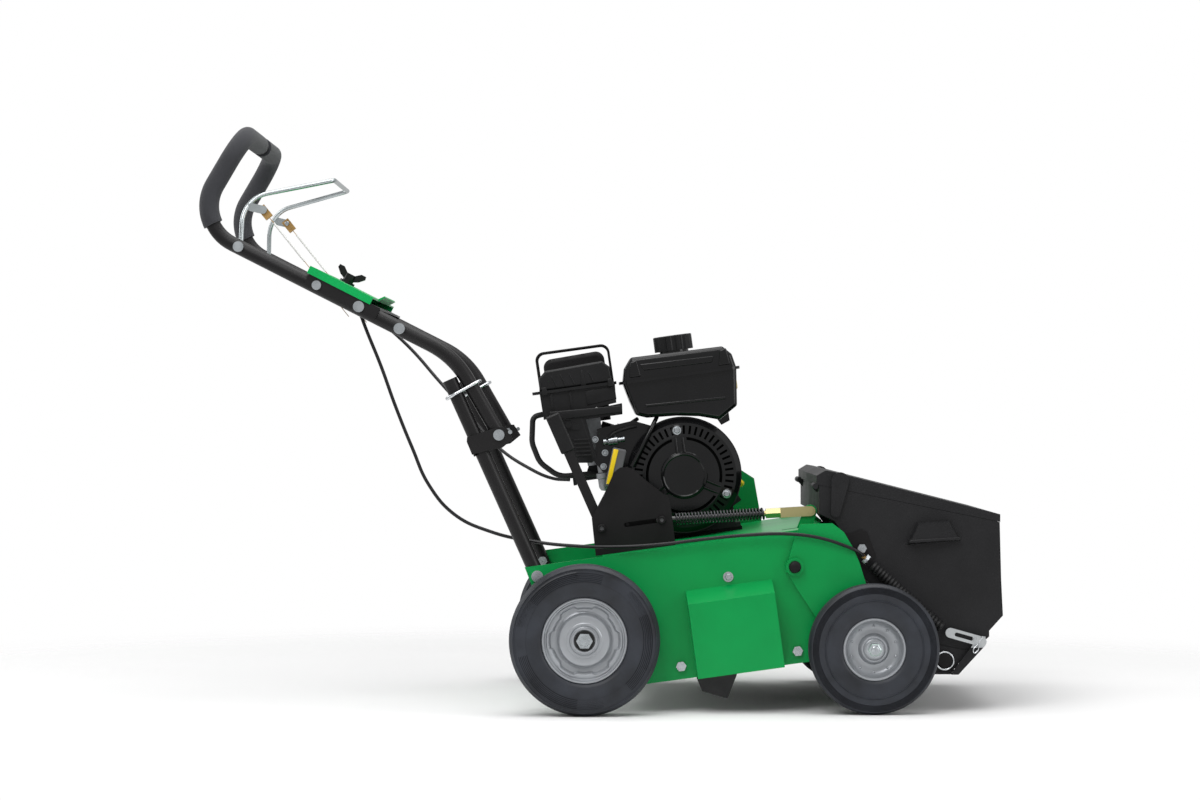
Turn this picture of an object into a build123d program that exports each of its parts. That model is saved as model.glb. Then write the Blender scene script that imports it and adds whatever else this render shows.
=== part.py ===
from build123d import *
import os
from math import atan2, cos, hypot, pi, radians, sin

os.makedirs("parts", exist_ok=True)

# Frame: +X forward to the hopper, +Y to the machine's left, +Z up, origin on the floor.
# Deck, engine and reel lie in a frame pitched nose-up: u along the deck top, v square to it.

# Driving dimensions in millimetres
deck_pitch = 7.8
deck_datum_z = 263.6
deck_half_width = 275.0
sheet = 3.0
clear = 0.3

rear_wheel_r = 127.0
rear_wheel_x = -28.7
rear_wheel_width = 70.0
rear_wheel_y = 335.0
rear_rim_r = 72.0
rear_axle_r = 9.5
front_wheel_r = 110.0
front_wheel_x = 460.0
front_wheel_width = 50.0
front_wheel_y = 313.0
front_rim_r = 53.0
front_axle_r = 8.0
running_fit = 0.05

tube_r = 12.7
tube_wall = 2.0
handle_half_width = 259.0
foam_r = 17.0
bolt_r = 4.0
dome_head_r = 9.5


class Uv:
    """The pitched deck frame."""

    along = Vector(cos(radians(deck_pitch)), 0, sin(radians(deck_pitch)))
    up = Vector(-sin(radians(deck_pitch)), 0, cos(radians(deck_pitch)))
    origin = Vector(0, 0, deck_datum_z)


def deck_point(u, y, v):
    return Uv.origin + Uv.along * u + Uv.up * v + Vector(0, y, 0)


def in_deck(x, z):
    """World x and z as u and v of the deck frame."""
    arm = Vector(x, 0, z) - Uv.origin
    return arm.dot(Uv.along), arm.dot(Uv.up)


def side(y):
    """Sketch plane in the deck frame that faces the machine's right."""
    return Plane(origin=deck_point(0, y, 0), x_dir=Uv.along, z_dir=(0, -1, 0))


def level(v, u=0.0, y=0.0):
    """Sketch plane parallel to the deck top, its x forward and its y to the left."""
    return Plane(origin=deck_point(u, y, v), x_dir=Uv.along, z_dir=Uv.up)


def upright(y):
    """Sketch plane in the world frame that faces the machine's right."""
    return Plane(origin=(0, y, 0), x_dir=(1, 0, 0), z_dir=(0, -1, 0))


def shape(*points):
    """Filled outline in the sketch that is open."""
    return Polygon(*points, align=None)


def save(part, name):
    part.part.label = name
    export_step(part.part, f"parts/{name}.step")


# Places shared by several pieces
rear_axle_uv = in_deck(rear_wheel_x, rear_wheel_r)
front_axle_uv = in_deck(front_wheel_x, front_wheel_r)
reel_uv = (208.0, -150.0)
engine_uv = (163.5, 112.0)
crank_uv = (323.0, -61.0)
base_bolt = (-109.3, 230.4)
fold_pivot = (-174.7, 471.0)
inner_face = deck_half_width - sheet

# Deck side plates
deck_front = 392.0
deck_bottom = -225.0
plate_outline = [
    (-132, 0), (deck_front, 0), (deck_front, -90), (362, -160), (326, deck_bottom), (0, deck_bottom),
    (-88, -180), (-110, -100), (-124, -34),
]
guard_riser = [(92, -1), (92, 120), (125, 165), (200, 165), (280, 97), (300, 80), (303, -1)]
crank_tube_r = 15.0
reel_bearing_r = 26.0
crankshaft_hole_r = 30.0
plate_bolts_uv = [(109, -203), (309, -204), (209, -63)]

with BuildPart() as side_plate_right:
    with BuildSketch(side(-inner_face)):
        shape(*plate_outline)
        with Locations(rear_axle_uv):
            Circle(rear_axle_r, mode=Mode.SUBTRACT)
        with Locations(reel_uv):
            Circle(reel_bearing_r, mode=Mode.SUBTRACT)
        with Locations(crank_uv):
            Circle(crank_tube_r + clear, mode=Mode.SUBTRACT)
        with Locations(*plate_bolts_uv, in_deck(*base_bolt)):
            Circle(bolt_r, mode=Mode.SUBTRACT)
    extrude(amount=sheet)
save(side_plate_right, "side_plate_right")

with BuildPart() as side_plate_left:
    with BuildSketch(side(deck_half_width)):
        shape(*plate_outline)
        shape(*guard_riser)
        with Locations(rear_axle_uv):
            Circle(rear_axle_r, mode=Mode.SUBTRACT)
        with Locations(reel_uv):
            Circle(reel_bearing_r, mode=Mode.SUBTRACT)
        with Locations(crank_uv):
            Circle(crank_tube_r + clear, mode=Mode.SUBTRACT)
        with Locations(engine_uv):
            Circle(crankshaft_hole_r, mode=Mode.SUBTRACT)
        with Locations(*plate_bolts_uv, in_deck(*base_bolt)):
            Circle(bolt_r, mode=Mode.SUBTRACT)
    extrude(amount=sheet)
save(side_plate_left, "side_plate_left")

# Deck top, one folded sheet with a rear and a front wall
top_rear = 2.0
top_front = 386.0
rear_wall_depth = 150.0
front_wall_depth = 110.0
rod_y = -202.0
ear_t = 6.0
slot_gap = 4.0
with BuildPart() as deck_top:
    with BuildSketch(side(inner_face - 0.1)):
        shape((top_rear, 0), (top_front, 0), (top_front, -front_wall_depth),
              (top_front - sheet, -front_wall_depth), (top_front - sheet, -sheet),
              (top_rear + sheet, -sheet), (top_rear + sheet, -rear_wall_depth), (top_rear, -rear_wall_depth))
    extrude(amount=2 * (inner_face - 0.1))
    with BuildSketch(level(1)):
        with Locations((347, rod_y)):
            Rectangle(66, ear_t + 2 * slot_gap)
    extrude(amount=-6, mode=Mode.SUBTRACT)
save(deck_top, "deck_top")

# Rear axle through both side plates
axle_end = rear_wheel_y + rear_wheel_width / 2 - 2
with BuildPart() as rear_axle:
    with BuildSketch(upright(axle_end)):
        with Locations((rear_wheel_x, rear_wheel_r)):
            Circle(rear_axle_r)
    extrude(amount=2 * axle_end)
save(rear_axle, "rear_axle")

# Reel bearing cover on the right side plate, open below and towards the plate
cover_depth = 40.0
cover_rear, cover_front = 134.0, 282.0
cover_sheet = 2.5
cover_section = [
    (-deck_half_width, -77), (-deck_half_width - cover_depth, -98),
    (-deck_half_width - cover_depth, deck_bottom), (-deck_half_width, deck_bottom),
]
cover_plane = Plane(origin=deck_point(cover_rear, 0, 0), x_dir=(0, 1, 0), z_dir=Uv.along)
cover_cavity_plane = Plane(origin=deck_point(cover_rear + cover_sheet, 0, 0), x_dir=(0, 1, 0), z_dir=Uv.along)
with BuildPart() as bearing_cover:
    with BuildSketch(cover_plane):
        shape(*cover_section)
    extrude(amount=cover_front - cover_rear)
    with BuildSketch(cover_cavity_plane):
        shape((-deck_half_width + 1, -80), (-deck_half_width - cover_depth + cover_sheet, -101),
              (-deck_half_width - cover_depth + cover_sheet, deck_bottom - 1),
              (-deck_half_width + 1, deck_bottom - 1))
    extrude(amount=cover_front - cover_rear - 2 * cover_sheet, mode=Mode.SUBTRACT)
save(bearing_cover, "bearing_cover")

# Reel bearing sizes
reel_shaft_r = 12.5
bearing_half = 9.0

# Belt guard on the left, open towards the side plate
guard_depth = 50.0
guard_sheet = 2.5
guard_outline = [
    (98, 110), (128, 160), (200, 160), (272, 97), (295, 76), (297, -40), (285, -160), (250, -217),
    (160, -217), (130, -160), (98, -20),
]
with BuildPart() as belt_guard:
    with BuildSketch(side(deck_half_width + guard_depth)):
        shape(*guard_outline)
    extrude(amount=guard_depth)
    fillet(belt_guard.faces().sort_by(Axis.Y)[-1].edges(), 8)
    with BuildSketch(side(deck_half_width + guard_depth - guard_sheet)):
        shape(*guard_outline)
        offset(amount=-guard_sheet, mode=Mode.REPLACE)
    extrude(amount=guard_depth, mode=Mode.SUBTRACT)
save(belt_guard, "belt_guard")

# Brackets: the depth lever's slotted plate pair, the engine rails and the hopper brackets
lever_pivot_uv = (6.7, 45.7)
rod_slot_start, rod_slot_end, rod_slot_v = 49.7, 111.0, 46.0
bracket_t = 4.0
bracket_y = -217.0
bracket_gap = 34.0
bracket_outline = [
    (-10, 0), (-8, 65), (23.5, 109.5), (41, 138), (52, 144), (64, 144), (75, 138), (89, 121), (120.5, 89),
    (127.5, 86), (129.5, 61), (128.5, 0),
]
hopper_half_width = 250.0
hopper_bracket_outline = [(423, 301), (443, 309), (454, 305), (469, 265), (452, 240), (436, 262)]
hopper_arm_outline = [(390.2, 262), (440, 255), (440, 301), (384, 306)]
adjuster_y = -266.0
adjuster_plane = Plane(origin=(453.5, 0, 257), x_dir=(0.668, 0, 0.744), z_dir=(0.744, 0, -0.668))
engine_foot_v = 6.0
with BuildPart() as deck_brackets:
    for y in (bracket_y, bracket_y + bracket_gap):
        with BuildSketch(side(y + bracket_t)):
            shape(*bracket_outline)
            with Locations(lever_pivot_uv):
                Circle(3.2, mode=Mode.SUBTRACT)
            with Locations(((rod_slot_start + rod_slot_end) / 2, rod_slot_v)):
                SlotOverall(rod_slot_end - rod_slot_start + 8, 8, mode=Mode.SUBTRACT)
        extrude(amount=bracket_t)
    with BuildSketch(level(0)):
        with Locations((59, bracket_y + bracket_gap / 2 + bracket_t / 2)):
            Rectangle(138, bracket_gap - bracket_t)
    extrude(amount=bracket_t)
    with BuildSketch(level(0)):
        with Locations((166, 45), (166, 165)):
            Rectangle(180, 34)
    extrude(amount=engine_foot_v)
    for y in (hopper_half_width + sheet, -hopper_half_width):
        with BuildSketch(upright(y)):
            shape(*hopper_bracket_outline)
            shape(*hopper_arm_outline)
        extrude(amount=sheet)
    with BuildSketch(adjuster_plane):
        with Locations((0, adjuster_y + 3.5)):
            Rectangle(15, 23)
    extrude(amount=sheet)
    with BuildSketch(adjuster_plane.offset(-8)):
        with Locations((0, adjuster_y)):
            Circle(4.5)
    extrude(amount=16 + sheet)
save(deck_brackets, "deck_brackets")

# Wheels: pressed steel rim and solid tyre, each pair built from the same sections
hub_r = 20.0
disc_inset = 13.0
rim_sheet = 3.0


def wheel_plane(x, y, r):
    return Plane(origin=(x, y, r), x_dir=(1, 0, 0), z_dir=(0, 0, 1))


def tyre(x, y, r, width, rim_r):
    with BuildPart() as part:
        with BuildSketch(wheel_plane(x, y, r)) as section:
            shape((rim_r, -0.40 * width), (rim_r + 8, -0.48 * width), (r - 14, -0.5 * width),
                  (r - 3, -0.38 * width), (r, -0.2 * width), (r, 0.2 * width), (r - 3, 0.38 * width),
                  (r - 14, 0.5 * width), (rim_r + 8, 0.48 * width), (rim_r, 0.40 * width))
            fillet(section.vertices().filter_by(lambda v: abs(v.X - x - r + 14) < 1), 6)
        revolve(axis=Axis((x, y, r), (0, 1, 0)))
    return part


def rim(x, y, r, width, rim_r, bore_r, outer):
    """Outer is +1 for a left wheel and -1 for a right one."""
    face = outer * (width / 2 - disc_inset)
    hub_half = width / 2 - 5
    with BuildPart() as part:
        with BuildSketch(wheel_plane(x, y, r)):
            shape((rim_r - rim_sheet, -0.40 * width), (rim_r, -0.40 * width), (rim_r, 0.40 * width),
                  (rim_r - rim_sheet, 0.40 * width))
            shape((bore_r, -hub_half), (hub_r, -hub_half), (hub_r, hub_half), (bore_r, hub_half))
            shape((hub_r - 1, face), (0.45 * rim_r, face), (0.55 * rim_r, face + outer * 5),
                  (0.78 * rim_r, face + outer * 5), (rim_r - 1, face - outer * 4),
                  (rim_r - 1, face - outer * (4 + rim_sheet)), (0.78 * rim_r, face + outer * (5 - rim_sheet)),
                  (0.55 * rim_r, face + outer * (5 - rim_sheet)), (0.45 * rim_r, face - outer * rim_sheet),
                  (hub_r - 1, face - outer * rim_sheet))
        revolve(axis=Axis((x, y, r), (0, 1, 0)))
    return part


for hand, outer in (("right", -1), ("left", 1)):
    y = outer * rear_wheel_y
    save(tyre(rear_wheel_x, y, rear_wheel_r, rear_wheel_width, rear_rim_r), f"rear_tyre_{hand}")
    save(rim(rear_wheel_x, y, rear_wheel_r, rear_wheel_width, rear_rim_r, rear_axle_r + running_fit, outer),
         f"rear_rim_{hand}")
    y = outer * front_wheel_y
    save(tyre(front_wheel_x, y, front_wheel_r, front_wheel_width, front_rim_r), f"front_tyre_{hand}")
    save(rim(front_wheel_x, y, front_wheel_r, front_wheel_width, front_rim_r, front_axle_r + running_fit, outer),
         f"front_rim_{hand}")

# Reel: shaft, slicing blades with four teeth, spacers and the driven pulley
blade_count = 11
blade_pitch = 50.8
blade_t = 3.0
blade_r = 123.0
blade_root_r = 68.0
blade_teeth = 4
tooth_start = 225.0
spacer_r = 20.0
pulley_y = 300.0
pulley_width = 18.0
reel_pulley_r = 58.0
engine_pulley_r = 40.0
groove_depth = 8.0
groove_width = 13.0


def polar(r, angle):
    return reel_uv[0] + r * cos(radians(angle)), reel_uv[1] + r * sin(radians(angle))


def pulley_section(bore_r, r):
    half = pulley_width / 2
    groove = groove_width / 2
    shape((bore_r, -half), (r, -half), (r, -groove), (r - groove_depth, -groove), (r - groove_depth, groove),
          (r, groove), (r, half), (bore_r, half))


def across(centre_uv, y):
    """Sketch plane through a cross shaft, its x along the deck and its y along the shaft."""
    return Plane(origin=deck_point(centre_uv[0], y, centre_uv[1]), x_dir=Uv.along, z_dir=Uv.up)


def shaft_axis(centre_uv):
    return Axis(tuple(deck_point(centre_uv[0], 0, centre_uv[1])), (0, 1, 0))


shaft_right_end = -deck_half_width - 12.0
shaft_left_end = pulley_y + 14.0
with BuildPart() as reel_shaft:
    with BuildSketch(side(shaft_left_end)):
        with Locations(reel_uv):
            Circle(reel_shaft_r)
    extrude(amount=shaft_left_end - shaft_right_end)
    with BuildSketch(across(reel_uv, pulley_y)):
        pulley_section(reel_shaft_r - 1, reel_pulley_r)
    revolve(axis=shaft_axis(reel_uv))
    for number in range(blade_count - 1):
        y = (number - blade_count / 2 + 1) * blade_pitch
        with BuildSketch(side(y + (blade_pitch - blade_t) / 2)):
            with Locations(reel_uv):
                Circle(spacer_r)
        extrude(amount=blade_pitch - blade_t)
save(reel_shaft, "reel_shaft")

with BuildPart() as reel_blades:
    for number in range(blade_count):
        y = (number - (blade_count - 1) / 2) * blade_pitch
        with BuildSketch(side(y + blade_t / 2)):
            with Locations(reel_uv):
                Circle(blade_root_r)
            for tooth in range(blade_teeth):
                turn = tooth_start + tooth * 360 / blade_teeth
                shape(polar(blade_root_r - 3, turn), polar(blade_r - 12, turn + 3), polar(blade_r, turn + 11),
                      polar(blade_r, turn + 32), polar(blade_root_r + 16, turn + 40),
                      polar(blade_root_r - 3, turn + 46))
            with Locations(reel_uv):
                Circle(reel_shaft_r, mode=Mode.SUBTRACT)
        extrude(amount=blade_t)
save(reel_blades, "reel_blades")

# Engine shaft, belt and idler
crankshaft_r = 9.5
crankcase_left = 200.0
with BuildPart() as crankshaft:
    with BuildSketch(side(pulley_y + 12)):
        with Locations(engine_uv):
            Circle(crankshaft_r)
    extrude(amount=pulley_y + 12 - crankcase_left)
    with BuildSketch(across(engine_uv, pulley_y)):
        pulley_section(crankshaft_r - 1, engine_pulley_r)
    revolve(axis=shaft_axis(engine_uv))
save(crankshaft, "crankshaft")

belt_width = 12.0
belt_t = 8.0
belt_rise = 1.0
with BuildPart() as drive_belt:
    with BuildSketch(side(pulley_y + belt_width / 2)):
        with Locations(engine_uv):
            Circle(engine_pulley_r + belt_rise)
        with Locations(reel_uv):
            Circle(reel_pulley_r + belt_rise)
        make_hull()
    extrude(amount=belt_width)
    with BuildSketch(side(pulley_y + belt_width / 2)):
        with Locations(engine_uv):
            Circle(engine_pulley_r + belt_rise - belt_t)
        with Locations(reel_uv):
            Circle(reel_pulley_r + belt_rise - belt_t)
        make_hull()
    extrude(amount=belt_width, mode=Mode.SUBTRACT)
save(drive_belt, "drive_belt")

idler_pivot_uv = (185.0, 45.0)
idler_uv = (170.0, -20.0)
idler_arm_y = 287.0
idler_arm_t = 4.0
idler_r = 20.0
idler_stud_r = 5.0
with BuildPart() as idler_arm:
    with BuildSketch(side(idler_arm_y)):
        with Locations(idler_pivot_uv, idler_uv):
            Circle(11)
        make_hull()
        with Locations(idler_pivot_uv):
            Circle(idler_stud_r + running_fit, mode=Mode.SUBTRACT)
    extrude(amount=idler_arm_t)
    with BuildSketch(side(pulley_y + 9)):
        with Locations(idler_uv):
            Circle(idler_stud_r)
    extrude(amount=pulley_y + 9 - idler_arm_y)
save(idler_arm, "idler_arm")

with BuildPart() as idler_pulley:
    with BuildSketch(side(pulley_y + belt_width / 2 + 1)):
        with Locations(idler_uv):
            Circle(idler_r)
            Circle(idler_stud_r + running_fit, mode=Mode.SUBTRACT)
    extrude(amount=belt_width + 2)
save(idler_pulley, "idler_pulley")

# Front carriage: cross tube, two arms and the ear that the lift rod pulls
rod_pin_uv = (367.2, 25.9)
arm_t = 5.0
arm_gap = 2.5
arm_face = deck_half_width + arm_gap + arm_t
cross_tube_end = arm_face + 8
axle_eye_r = 26.0
axle_stub_end = front_wheel_y + front_wheel_width / 2 + 4
pin_r = 4.75
pin_slack = 2.0
arm_outline = [
    (307, -64), (330, -12), (343, 9.5), (397, 3.5), (414, -14), (425, -40), (433, -68), (439, -104),
    (448, -150), (455, -190), (414, -196), (348, -153), (323, -101),
]
with BuildPart() as front_crank:
    with BuildSketch(side(cross_tube_end)):
        with Locations(crank_uv):
            Circle(crank_tube_r)
    extrude(amount=2 * cross_tube_end)
    for y in (arm_face, -arm_face + arm_t):
        with BuildSketch(side(y)):
            shape(*arm_outline)
            with Locations(crank_uv):
                Circle(16)
            with Locations(front_axle_uv):
                Circle(axle_eye_r)
        extrude(amount=arm_t)
    with BuildSketch(side(rod_y + ear_t / 2)):
        with Locations(crank_uv):
            Circle(crank_tube_r)
        with Locations(rod_pin_uv):
            Circle(11)
        make_hull()
        with Locations(rod_pin_uv):
            Circle(pin_r + pin_slack, mode=Mode.SUBTRACT)
    extrude(amount=ear_t)
    for outer in (-1, 1):
        stub_y = outer * (arm_face + axle_stub_end) / 2
        with BuildSketch(upright(stub_y)):
            with Locations((front_wheel_x, front_wheel_r)):
                Circle(front_axle_r)
        extrude(amount=(axle_stub_end - arm_face) / 2, both=True)
        with BuildSketch(upright(outer * (axle_stub_end - 3.5))):
            with Locations((front_wheel_x, front_wheel_r)):
                RegularPolygon(11, 6)
        extrude(amount=3.5, both=True)
save(front_crank, "front_crank")

# Lift rod with its eye, adjusting nut and clevis
rod_r = 5.0
slide_bolt_uv = (rod_slot_end, rod_slot_v)
slide_bolt_r = 3.0
rod_eye_r = 9.0
rod_eye_t = 7.4
clevis_t = 3.0
clevis_height = 17.0
clevis_base = 52.0
nut_length = 25.0
spring_start = 16.5
clevis_inner = ear_t / 2 + 0.5
rod_direction = (deck_point(rod_pin_uv[0], 0, rod_pin_uv[1]) - deck_point(slide_bolt_uv[0], 0, slide_bolt_uv[1]))
rod_length = rod_direction.length
rod_x = rod_direction.normalized()
rod_origin = deck_point(slide_bolt_uv[0], rod_y, slide_bolt_uv[1])


def rod_section(distance):
    """Sketch plane square to the lift rod, at a distance from its eye."""
    return Plane(origin=rod_origin + rod_x * distance, x_dir=(0, 1, 0), z_dir=rod_x)


def rod_side(y):
    return Plane(origin=rod_origin + Vector(0, y, 0), x_dir=rod_x, z_dir=(0, -1, 0))


with BuildPart() as lift_rod:
    with BuildSketch(rod_side(rod_eye_t / 2)):
        Circle(rod_eye_r)
        Circle(slide_bolt_r + running_fit, mode=Mode.SUBTRACT)
    extrude(amount=rod_eye_t)
    with BuildSketch(rod_section(rod_eye_r - 2)):
        Circle(3.5)
    extrude(amount=spring_start - rod_eye_r + 2)
    with BuildSketch(rod_section(spring_start)):
        Circle(rod_r)
    extrude(amount=rod_length - clevis_base - spring_start)
    with BuildSketch(rod_section(rod_length - clevis_base - nut_length)):
        RegularPolygon(9.5, 6)
    extrude(amount=nut_length)
    with BuildSketch(rod_side(clevis_inner + clevis_t)):
        with Locations((rod_length - clevis_base / 2, 0)):
            Rectangle(clevis_base, clevis_height)
        with Locations((rod_length, 0)):
            Circle(clevis_height / 2)
    extrude(amount=2 * (clevis_inner + clevis_t))
    with BuildSketch(rod_side(clevis_inner)):
        with Locations((rod_length + 4, 0)):
            Rectangle(2 * clevis_base - 12, clevis_height + 1)
    extrude(amount=2 * clevis_inner, mode=Mode.SUBTRACT)
    with BuildSketch(rod_side(clevis_inner + clevis_t + 2)):
        with Locations((rod_length, 0)):
            Circle(pin_r)
    extrude(amount=2 * (clevis_inner + clevis_t + 2))
save(lift_rod, "lift_rod")

# Lift spring: one wire whose half turns lie in tilted planes, tangent at each meeting
spring_r = 9.0
spring_wire_r = 1.6
spring_coils = 28
spring_end = rod_length - clevis_base - nut_length
spring_free = spring_end - spring_start - 6.0
spring_pitch = (spring_free - 2 * spring_wire_r) / spring_coils
spring_plane = rod_section(spring_start + 5.0 + spring_wire_r)
spring_gap = spring_pitch - 2 * spring_wire_r
print("lift spring least gap to itself", round(spring_gap, 2), "mm")


def spring_point(x, y, rise):
    return spring_plane.from_local_coords(Vector(x, y, rise))


spring_height = spring_coils * spring_pitch
wire_start = spring_point(spring_r, -2 * spring_wire_r, 0)
with BuildPart() as lift_spring:
    with BuildLine():
        turn_end = spring_point(spring_r, 0, 0)
        Line(wire_start, turn_end)
        for half in range(2 * spring_coils):
            swing = 1 if half % 2 == 0 else -1
            rise = half * spring_pitch / 2
            middle = spring_point(0, swing * hypot(spring_r, spring_pitch / 4), rise + spring_pitch / 4)
            next_end = spring_point(-swing * spring_r, 0, rise + spring_pitch / 2)
            ThreePointArc(turn_end, middle, next_end)
            turn_end = next_end
        Line(turn_end, spring_point(spring_r, 2 * spring_wire_r, spring_height))
    with BuildSketch(Plane(origin=wire_start, x_dir=rod_x, z_dir=spring_plane.y_dir)):
        Circle(spring_wire_r)
    sweep()
save(lift_spring, "lift_spring")

with BuildPart() as slide_bolt:
    with BuildSketch(side(bracket_y + bracket_gap + bracket_t + 1)):
        with Locations(slide_bolt_uv):
            Circle(slide_bolt_r)
    extrude(amount=bracket_gap + bracket_t + 4)
    with BuildSketch(side(bracket_y - 0.4)):
        with Locations(slide_bolt_uv):
            Circle(6)
    extrude(amount=3.5)
save(slide_bolt, "slide_bolt")

# Depth lever with its toggle arm and link
lever_t = 8.0
lever_y = -185.8
lever_tilt = atan2(196.7, -56.2)
lever_length = 205.0
grip_length = 62.0
toggle_arm = 45.0
link_t = 3.8
link_y = -194.2
lever_x = Uv.along * cos(lever_tilt) + Uv.up * sin(lever_tilt)


def lever_side(y):
    """Plane in which the lever points along x from its pivot."""
    return Plane(origin=deck_point(lever_pivot_uv[0], y, lever_pivot_uv[1]), x_dir=lever_x, z_dir=(0, -1, 0))


with BuildPart() as depth_lever:
    with BuildSketch(lever_side(lever_y)):
        Circle(12)
        with Locations((lever_length / 2, 0)):
            Rectangle(lever_length, 17)
        Circle(3 + running_fit, mode=Mode.SUBTRACT)
    extrude(amount=lever_t)
    with BuildSketch(side(lever_y)):
        with Locations(lever_pivot_uv, (lever_pivot_uv[0] + toggle_arm, lever_pivot_uv[1])):
            Circle(9)
        make_hull()
        with Locations(lever_pivot_uv):
            Circle(3 + running_fit, mode=Mode.SUBTRACT)
    extrude(amount=lever_t)
    with BuildSketch(side(lever_y)):
        with Locations((lever_pivot_uv[0] + toggle_arm, lever_pivot_uv[1])):
            Circle(3)
    extrude(amount=lever_t + link_t + 0.4)
save(depth_lever, "depth_lever")

grip_wall = 4.0
with BuildPart() as lever_grip:
    with BuildSketch(lever_side(lever_y + grip_wall)):
        with Locations((lever_length - grip_length / 2 + 4, 0)):
            Rectangle(grip_length + 8, 25)
    extrude(amount=lever_t + 2 * grip_wall)
    fillet(lever_grip.edges(), 3.5)
    with BuildSketch(lever_side(lever_y)):
        with Locations((lever_length - grip_length / 2 - 5, 0)):
            Rectangle(grip_length + 10, 17)
    extrude(amount=lever_t, mode=Mode.SUBTRACT)
save(lever_grip, "lever_grip")

# Its curved window clears the slide bolt over the carriage's whole lift
link_half_height = 9.5
link_clear = 0.5
window_steps = 12
lever_swing, link_swing, bolt_travel = 52.0, 36.74, 29.0


def bolt_in_link(share):
    """Centre of the slide bolt as the link sees it, at a share of the carriage's lift."""
    lever_turn = radians(lever_swing) * share
    link_turn = radians(link_swing) * share
    arm_u = slide_bolt_uv[0] - bolt_travel * share - lever_pivot_uv[0] - toggle_arm * cos(lever_turn)
    arm_v = slide_bolt_uv[1] - lever_pivot_uv[1] - toggle_arm * sin(lever_turn)
    return (lever_pivot_uv[0] + toggle_arm + arm_u * cos(link_turn) - arm_v * sin(link_turn),
            lever_pivot_uv[1] + arm_u * sin(link_turn) + arm_v * cos(link_turn))


with BuildPart() as toggle_link:
    with BuildSketch(side(link_y)):
        with Locations((lever_pivot_uv[0] + toggle_arm, rod_slot_v), slide_bolt_uv):
            Circle(link_half_height)
        make_hull()
        with Locations((lever_pivot_uv[0] + toggle_arm, lever_pivot_uv[1])):
            Circle(3 + running_fit, mode=Mode.SUBTRACT)
    extrude(amount=link_t)
    with BuildSketch(side(link_y)):
        with Locations(*[bolt_in_link(step / window_steps) for step in range(window_steps)]):
            Circle(slide_bolt_r + link_clear)
        make_hull()
    extrude(amount=link_t, mode=Mode.SUBTRACT)
save(toggle_link, "toggle_link")

# Engine block: crankcase, finned cylinder at an angle, head and the cable bracket bolted to its rear
case_right = 25.0
case_outline = [(88, 6), (245, 6), (245, 62), (232, 122), (200, 168), (120, 168), (98, 140), (88, 100)]
foot_outline = [(78, 6), (254, 6), (254, 14), (78, 14)]
cable_bracket_y = 62.0
cable_bracket_outline = [(-34, 160), (-34, 118), (-28, 118), (-26, 124), (95, 124), (95, 130), (-26, 131), (-28, 160)]
cylinder_tilt = 155.0
cylinder_start, cylinder_end = 66.0, 140.0
fin_count = 7
fin_t = 2.5
fin_size = (112.0, 104.0)
bore_size = (84.0, 80.0)
engine_mid_y = 112.0
head_t = 26.0
cylinder_x = Uv.along * cos(radians(cylinder_tilt)) + Uv.up * sin(radians(cylinder_tilt))
fin_pitch = (cylinder_end - cylinder_start) / fin_count


def cylinder_section(distance):
    return Plane(origin=deck_point(engine_uv[0], engine_mid_y, engine_uv[1]) + cylinder_x * distance,
                 x_dir=(0, 1, 0), z_dir=cylinder_x)


with BuildPart() as engine_block:
    with BuildSketch(side(crankcase_left)) as case_sketch:
        shape(*case_outline)
        fillet(case_sketch.vertices().group_by(Axis.Z)[1:], 9)
    extrude(amount=crankcase_left - case_right)
    with BuildSketch(side(crankcase_left)):
        shape(*foot_outline)
    extrude(amount=crankcase_left - case_right)
    with BuildSketch(side(case_right + 26)):
        shape((240, 40), (262, 52), (254, 66), (236, 56))
    extrude(amount=16)
    with BuildSketch(cylinder_section(30)):
        Rectangle(*bore_size)
    extrude(amount=cylinder_end - 30)
    for fin in range(fin_count):
        with BuildSketch(cylinder_section(cylinder_start + (fin + 0.6) * fin_pitch)):
            RectangleRounded(*fin_size, 8)
        extrude(amount=fin_t)
    with BuildSketch(cylinder_section(cylinder_end)):
        RectangleRounded(fin_size[0] - 8, fin_size[1] - 8, 8)
    extrude(amount=head_t)
    with BuildSketch(side(cable_bracket_y + 12)):
        shape(*cable_bracket_outline)
    extrude(amount=24)
save(engine_block, "engine_block")

# Blower housing and recoil cover round the flywheel
recoil_r = 101.0
blower_r = 104.0
blower_left = 24.0
recoil_left = -4.0
recoil_face = -50.0
hub_disc_r = 38.0
cover_t = 2.5
with BuildPart() as blower_housing:
    with BuildSketch(side(blower_left)):
        with Locations(engine_uv):
            Circle(blower_r)
        shape((8, 158), (22, 214), (88, 220), (120, 206), (86, 60), (40, 108))
    extrude(amount=blower_left - recoil_left)
    with BuildSketch(side(blower_left + 1)):
        with Locations(engine_uv):
            Circle(blower_r - cover_t)
        shape((12, 158), (25, 210), (88, 216), (118, 203), (88, 64), (42, 111))
    extrude(amount=blower_left - recoil_left - 2, mode=Mode.SUBTRACT)
    with BuildSketch(side(recoil_left + 2)):
        with Locations(engine_uv):
            Circle(recoil_r - 8)
    extrude(amount=4, mode=Mode.SUBTRACT)
save(blower_housing, "blower_housing")

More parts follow.
